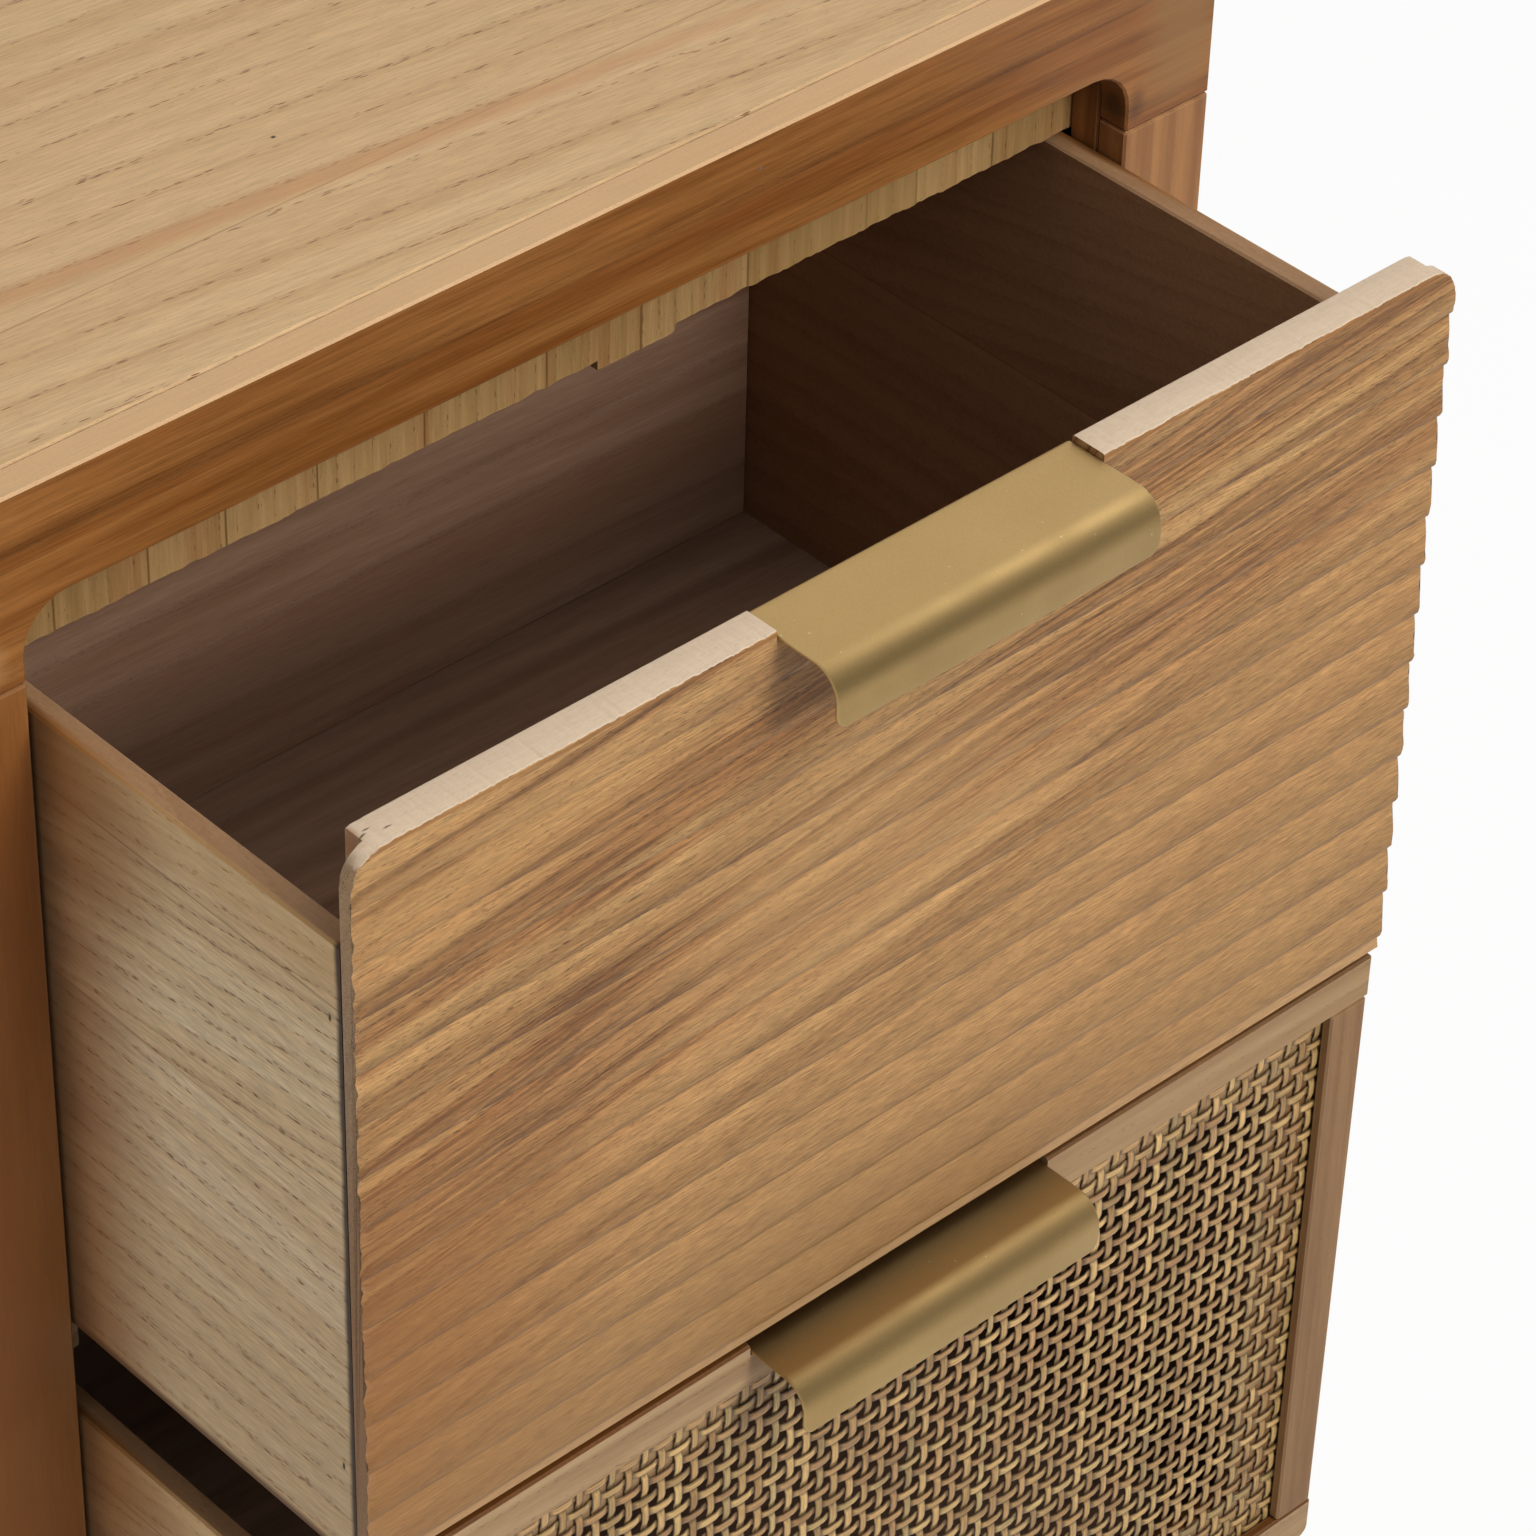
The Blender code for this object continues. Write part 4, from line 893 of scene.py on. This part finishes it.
class NIGHTSTAND_OT_drawer_boxes(bpy.types.Operator):
    """Woods of the two drawer boxes and of the frame round the cane"""

    bl_idname = "nightstand.drawer_boxes"
    bl_label = "Drawer boxes"

    def execute(self, context):
        tones = context.scene.nightstand_colours
        lining = pair(tones, "lining")
        # Painted shade: the lower drawer's inside and both bottoms take the lining at 0.44 of its tone.
        painted_shade_lining = tuple(tuple(0.44 * v for v in tone) for tone in lining)
        edge = pair(tones, "edge")
        ends = pair(tones, "end")
        frame_tones = pair(tones, "cane_frame")
        # Raw beige boards with rows of brown dashes outside, stained brown inside and rubbed along the top;
        # inside, the stain is drawn darker as painted shade.
        for level, joint in (("upper", 521.4), ("lower", 246.0)):
            low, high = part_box(f"{level}_side_left")
            inside = pair(tones, "inner_side") if level == "upper" else painted_shade_lining
            finish = wood(f"raw paulownia {level} drawer side", (0.0, 0.0, -90.0),
                          pair(tones, "side"), ring=6.5, heart=(65.0, low.z * PER_MM - 78.0),
                          sway=3.0, bend=0.3, line=0.4, pores=0.85, speckle=0.05, porous=0.42,
                          dash=(4.5, 0.75), fleck=0.32, thread=(9.0, 0.8), band=20.0, contrast=0.9,
                          rough=0.65, ink="#743a10",
                          faces=[((-1.0, 0.0, 0.0), inside, 0.0, 0.3), ((0.0, 0.0, 1.0), edge, 0.1, 0.3),
                                 ((0.0, 0.0, -1.0), edge, 0.1, 0.3)], joint=("Z", joint, 0.13),
                          marks=[mark for x in (low.x, -low.x) for mark in (
                              ((x, 0.0, high.z), (LONG, 1.5, 30.0), "#cda062", 0.5),
                              # Painted shade near the post, high on the side.
                              ((x, -0.125, high.z - 30 * MM), (45.0, 4.0, 45.0), "#8f5a1e", 0.45),
                              ((x, 0.0, low.z + 15 * MM), (LONG, 4.0, 95.0), "#a07f58", 0.3),
                              ((x, 0.0, high.z - 23 * MM), (LONG, 1.5, 0.6), "#6b4526", 0.5),
                              # Painted shade near the post, where the side runs into the cabinet.
                              ((x, -0.080, joint * MM), (75.0, 4.0, LONG), "#8a5217", 0.8),
                              ((x, -0.088, joint * MM), (24.0, 4.0, LONG), "#3a2310", 0.6),
                              ((x, 0.0, low.z), (LONG, 4.0, 4.5), "#5f3b1c", 0.9),
                              # Painted shadow in the gap behind the drawer front.
                              ((x, low.y, joint * MM), (3.2, 4.0, LONG), "#2b180c", 0.95))])
            finish_nodes(finish, [f"{level}_side_left", f"{level}_side_right"])
        # Veneer stained dark brown: soft mauve-brown bands and hardly any pores; the lower back in painted
        # shade.
        for level, inside in (("upper", lining), ("lower", painted_shade_lining)):
            finish_nodes(wood(f"stained {level} drawer back veneer", (-90.0, 0.0, 2.0), inside, ring=24.0,
                              heart=(-200.0, 60.0), sway=8.0, line=0.35, pores=0.2, band=8.0, contrast=0.45,
                              blush=0.12, rough=0.55, ink="#3a241a",
                              faces=[((0.0, 0.0, 1.0), edge, 0.1, 0.3)],
                              # Painted shade: each back darkens towards its bottom.
                              marks=[((0.0, 0.07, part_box(f"{level}_back")[0].z), (LONG, 75.0, LONG),
                                      "#2e1c11", 0.5)]),
                         [f"{level}_back"])
            finish_nodes(wood(f"stained {level} drawer bottom veneer", (0.0, 0.0, 2.0), painted_shade_lining, ring=24.0,
                              heart=(-600.0, 0.0), sway=8.0, line=0.35, pores=0.2, band=8.0, contrast=0.4,
                              blush=0.1, rough=0.55, ink="#3a241a"),
                         [f"{level}_bottom"])
        # Slim planed members round the cane, oiled: even tan with faint long bands.
        finish_nodes(wood("planed oiled cane frame rail", (-90.0, 0.0, 0.8), frame_tones, ring=9.0,
                          heart=(-200.0, 40.0), line=0.3, pores=0.45, band=8.0, blush=0.05, rough=0.55,
                          faces=[((1.0, 0.0, 0.0), ends, 0.2, 1.0),
                                 # The top faces take a brown edge tone, made darker as painted shade for the
                                 # gap under the ribbed front.
                                 ((0.0, 0.0, 1.0), (tones.rail_deep, linear("#4a3012")), 0.1, 0.6)],
                          marks=[((0.16, -0.234, 0.36), (170.0, 30.0, 60.0), "#8f6f48", 0.35)]),
                     ["lower_front_top_rail", "lower_front_bottom_rail", "backing_top", "backing_bottom"])
        # The uprights beside the cane: the same finish, browner.
        finish_nodes(wood("planed oiled cane frame stile", (0.0, 90.0, 0.0),
                          pair(tones, "stile"), ring=9.0, heart=(-40.0, 900.0), line=0.3,
                          pores=0.35, band=8.0, blush=0.05, rough=0.55),
                     ["lower_front_stile_left", "lower_front_stile_right", "backing_stile_left",
                      "backing_stile_right"])
        return {"FINISHED"}


class NIGHTSTAND_OT_cane(bpy.types.Operator):
    """Woven cane of the lower drawer front"""

    bl_idname = "nightstand.cane"
    bl_label = "Woven cane"

    def execute(self, context):
        tones = context.scene.nightstand_colours
        sizes = context.scene.nightstand_cane
        pale, deep = pair(tones, "strand")
        middle = (CANE_LOW + CANE_HIGH) / 2
        wide = CANE_HIGH.x - CANE_LOW.x
        tall = CANE_HIGH.z - CANE_LOW.z
        columns = int(wide / sizes.pitch)
        rows = int(tall / sizes.pitch)
        x = (np.arange(columns) - (columns - 1) / 2) * sizes.pitch
        z = (np.arange(rows) - (rows - 1) / 2) * sizes.pitch
        up = np.linspace(-tall / 2, tall / 2, rows * 6 + 1)
        over = np.linspace(-wide / 2, wide / 2, columns * 6 + 1)
        across, along, deep_y, marks = strand_points(x, up, sizes, sizes.upright, (rows - 1) / 2, 31)
        uprights = np.stack([middle.x + across, middle.y - deep_y, middle.z + along], axis=-1)[:, :, ::-1]
        finish = rattan_strand("split scraped rattan upright", (0.0, 90.0, 0.0), pale, deep)
        make_piece("cane_uprights", uprights, finish, "lower_drawer", ["cane_panel"], sharp=75.0,
                   marks={key: values[:, :, ::-1] for key, values in marks.items()})
        across, along, deep_y, marks = strand_points(z, over, sizes, sizes.crosswise, (columns - 1) / 2, 57)
        strands = np.stack([middle.x + along, middle.y + deep_y, middle.z + across], axis=-1)
        finish = rattan_strand("split scraped rattan crosswise", (0.0, 0.0, 0.0), pale, deep)
        marks["under"] = 1.0 - marks["under"]
        make_piece("cane_crosswise", strands, finish, "lower_drawer", ["cane_panel"], sharp=75.0,
                   marks=marks)
        return {"FINISHED"}


class NIGHTSTAND_OT_pulls(bpy.types.Operator):
    """Bent brass pulls and the screws that hold them"""

    bl_idname = "nightstand.pulls"
    bl_label = "Brass pulls"

    def execute(self, context):
        tones = context.scene.nightstand_colours
        sizes = context.scene.nightstand_pulls
        # Brass sheet, bent and satin-finished: soft broad sheen, bright cut edges.
        brass = satin_metal("satin brass sheet", tones.brass, 0.55, 0.4, 1.0)
        # Steel screws, zinc-plated: small grey glints.
        steel = satin_metal("zinc-plated steel screw", tones.steel, 0.3, 0.2, 1.0)
        for level, low, high in (("upper", UPPER_PULL_LOW, UPPER_PULL_HIGH),
                                 ("lower", LOWER_PULL_LOW, LOWER_PULL_HIGH)):
            make_piece(f"{level}_pull_bent", pull_points(low, high, sizes), brass, f"{level}_drawer",
                       [f"{level}_pull"], sharp=50.0)
            centres = [(side * SCREW_OUT, high.y, high.z - SCREW_DROP) for side in (-1, 1)]
            pan = [(1.0, -0.05 * MM, 0.0), (1.0, 0.35 * MM, 0.0), (0.9, 0.9 * MM, 0.0), (0.65, 1.3 * MM, 0.0),
                   (0.0, 1.3 * MM, 1.0), (0.0, 0.5 * MM, 0.98)]
            make_piece(f"{level}_pull_screws", head_points(centres, (0.0, 1.0, 0.0), 3.0 * MM, pan), steel,
                       f"{level}_drawer")
        return {"FINISHED"}


class NIGHTSTAND_OT_brads(bpy.types.Operator):
    """Brads through the drawer sides and pins round the back"""

    bl_idname = "nightstand.brads"
    bl_label = "Brads and pins"

    def execute(self, context):
        # Blackened steel: small dull dark heads.
        steel = satin_metal("blackened steel brad", linear("#2c1f16"), 0.6, 0.2, 1.0)
        flush = [(1.0, -0.3 * MM, 0.0), (1.0, 0.03 * MM, 0.0), (0.6, 0.05 * MM, 0.0)]
        for level in ("upper", "lower"):
            for side, way in (("left", -1.0), ("right", 1.0)):
                low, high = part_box(f"{level}_side_{side}")
                outer = low.x if way < 0 else high.x
                front = low.y + BRAD_FRONT
                rear = high.y - BRAD_REAR
                heights = [high.z - drop for drop in BRAD_DROPS]
                centres = [(outer, y, z) for y in (front, rear) for z in heights]
                heads = head_points(centres, (way, 0.0, 0.0), 1.5 * MM, flush, 0.42)
                make_piece(f"{level}_brads_{side}", heads, steel, f"{level}_drawer")
        tall = BACK_HIGH.z - BACK_LOW.z
        rows = [BACK_LOW.z + PIN_INSET + share * (tall - 2 * PIN_INSET) for share in np.linspace(0.0, 1.0, 9)]
        columns = np.linspace(BACK_LOW.x + PIN_INSET, BACK_HIGH.x - PIN_INSET, 7)
        edge = [(x, BACK_HIGH.y, z) for x in (columns[0], columns[-1]) for z in rows]
        edge += [(x, BACK_HIGH.y, z) for x in columns[1:-1] for z in (rows[0], rows[-1])]
        pin = [(1.0, -0.05 * MM, 0.0), (1.0, 0.25 * MM, 0.0), (0.6, 0.45 * MM, 0.0)]
        make_piece("back_pins", head_points(edge, (0.0, 1.0, 0.0), 1.6 * MM, pin), steel, "carcass")
        return {"FINISHED"}


class NIGHTSTAND_OT_stage(bpy.types.Operator):
    """Paper floor, studio light and the camera"""

    bl_idname = "nightstand.stage"
    bl_label = "Stage"

    def execute(self, context):
        scene = context.scene
        light = scene.nightstand_stage
        # Floor: a flat grid, pale paper, shown white to the eye with the shadow kept.
        span = np.linspace(-FLOOR_HALF, FLOOR_HALF, 9)
        x, y = np.meshgrid(span, span)
        points = np.stack([x, y, 0 * x], axis=-1)
        index = np.arange(x.size).reshape(x.shape)
        quads = np.stack([index[:-1, :-1], index[:-1, 1:], index[1:, 1:], index[1:, :-1]], axis=-1)
        mesh = bpy.data.meshes.new("floor")
        mesh.from_pydata(points.reshape(-1, 3).tolist(), [], quads.reshape(-1, 4).tolist())
        floor = bpy.data.objects.new("floor", mesh)
        scene.collection.objects.link(floor)
        paper, tree, shader = start_material("matt white paper")
        coords = add(tree, "TexCoord").node.outputs["Object"]
        fibre = add(tree, "TexNoise", {"Vector": coords, "Scale": 300.0, "Detail": 2.0})
        shade = add(tree, "MapRange", {"Value": fibre, "To Min": 0.97, "To Max": 1.02})
        tone = add(tree, "VectorMath", {0: tuple(light.floor), "Scale": shade}, operation="SCALE")
        tree.links.new(tone, shader.inputs["Base Color"])
        shader.inputs["Roughness"].default_value = 0.9
        path = add(tree, "LightPath").node.outputs
        seen = add(tree, "Math", {0: path["Is Camera Ray"], 1: path["Is Glossy Ray"]}, operation="MAXIMUM")
        seen = add(tree, "Math", {0: seen, 1: path["Is Transmission Ray"]}, operation="MAXIMUM")
        share = add(tree, "Math", {0: seen, 1: 0.93}, operation="MULTIPLY")
        white = add(tree, "Emission", {"Color": (1.0, 1.0, 1.0, 1.0), "Strength": 1.0})
        mixed = add(tree, "MixShader", {0: share, 1: shader.outputs[0], 2: white})
        target = next(n for n in tree.nodes if n.type == "OUTPUT_MATERIAL")
        tree.links.new(mixed, target.inputs["Surface"])
        mesh.materials.append(paper)

        world = bpy.data.worlds.new("studio")
        world.use_nodes = True
        tree = world.node_tree
        tree.nodes.clear()
        path = add(tree, "LightPath").node.outputs
        # Mirrors see the white studio fall off towards the dim end of the room, in front.
        way = add(tree, "TexCoord").node.outputs["Generated"]
        behind = add(tree, "SeparateXYZ", {"Vector": way}).node.outputs["Y"]
        dim = add(tree, "MapRange", {"Value": behind, "From Min": -0.6, "From Max": 0.1, "To Min": 0.34,
                                     "To Max": 1.0}, interpolation_type="SMOOTHSTEP")
        mirrored = add(tree, "Math", {0: path["Is Glossy Ray"], 1: path["Is Transmission Ray"]},
                       operation="MAXIMUM")
        level = add(tree, "Mix", {"Factor": mirrored, "A": light.sky, "B": dim})
        level = add(tree, "Mix", {"Factor": path["Is Camera Ray"], "A": level, "B": 1.0})
        sky = add(tree, "Background", {"Color": (1.0, 1.0, 1.0, 1.0), "Strength": level})
        add(tree, "OutputWorld", {"Surface": sky})
        scene.world = world

        # The gleam is a small lamp that only mirrors see; the two soft lamps are kept out of them.
        for name, (setting, place, size, mirror) in LAMPS.items():
            lamp = bpy.data.lights.new(name, "AREA")
            lamp.energy = getattr(light, setting)
            lamp.size = size
            lamp_object = bpy.data.objects.new(name, lamp)
            lamp_object.location = place
            lamp_object.visible_glossy = mirror
            lamp_object.visible_diffuse = not mirror
            aim = Vector(LAMP_AIM) - Vector(place)
            lamp_object.rotation_euler = aim.to_track_quat("-Z", "Y").to_euler()
            scene.collection.objects.link(lamp_object)

        camera = bpy.data.cameras.new("camera")
        camera.sensor_width = SENSOR
        camera.lens = SENSOR * FOCAL_PIXELS / IMAGE_SIDE
        camera_object = bpy.data.objects.new("camera", camera)
        camera_object.rotation_mode = "QUATERNION"
        camera_object.location = EYE
        level_look = Vector(AHEAD).to_track_quat("-Z", "Y")
        camera_object.rotation_quaternion = level_look @ Quaternion((0.0, 0.0, 1.0), ROLL)
        scene.collection.objects.link(camera_object)
        scene.camera = camera_object
        scene.view_settings.view_transform = "Standard"
        return {"FINISHED"}


OPERATORS = (NIGHTSTAND_OT_cabinet, NIGHTSTAND_OT_batten, NIGHTSTAND_OT_ribbed_front,
             NIGHTSTAND_OT_drawer_boxes, NIGHTSTAND_OT_cane, NIGHTSTAND_OT_pulls, NIGHTSTAND_OT_brads,
             NIGHTSTAND_OT_stage)


class NIGHTSTAND_PT_looks(bpy.types.Panel):
    """Settings and operators of the nightstand's looks"""

    bl_idname = "NIGHTSTAND_PT_looks"
    bl_label = "Nightstand looks"
    bl_space_type = "VIEW_3D"
    bl_region_type = "UI"
    bl_category = "Nightstand"

    def draw(self, context):
        for group in SETTINGS:
            settings = getattr(context.scene, group)
            box = self.layout.box()
            for key in settings.bl_rna.properties.keys():
                if key not in {"rna_type", "name"}:
                    box.prop(settings, key)
        for operator in OPERATORS:
            self.layout.operator(operator.bl_idname)


SETTINGS = {"nightstand_colours": NightstandColours, "nightstand_front": RibbedFrontSizes,
            "nightstand_cane": CaneSizes, "nightstand_pulls": PullSizes, "nightstand_stage": StageSettings}
CLASSES = (*SETTINGS.values(), *OPERATORS, NIGHTSTAND_PT_looks)


def register():
    """Registers the settings, the operators and the panel."""
    for entry in CLASSES:
        bpy.utils.register_class(entry)
    for name, group in SETTINGS.items():
        setattr(bpy.types.Scene, name, PointerProperty(type=group))


def unregister():
    """Takes the settings, the operators and the panel out again."""
    for name in SETTINGS:
        delattr(bpy.types.Scene, name)
    for entry in reversed(CLASSES):
        bpy.utils.unregister_class(entry)


def main():
    """Builds every piece in order."""
    register()
    bpy.ops.nightstand.cabinet()
    bpy.ops.nightstand.batten()
    bpy.ops.nightstand.ribbed_front()
    bpy.ops.nightstand.drawer_boxes()
    bpy.ops.nightstand.cane()
    bpy.ops.nightstand.pulls()
    bpy.ops.nightstand.brads()
    bpy.ops.nightstand.stage()


if __name__ == "__main__":
    main()
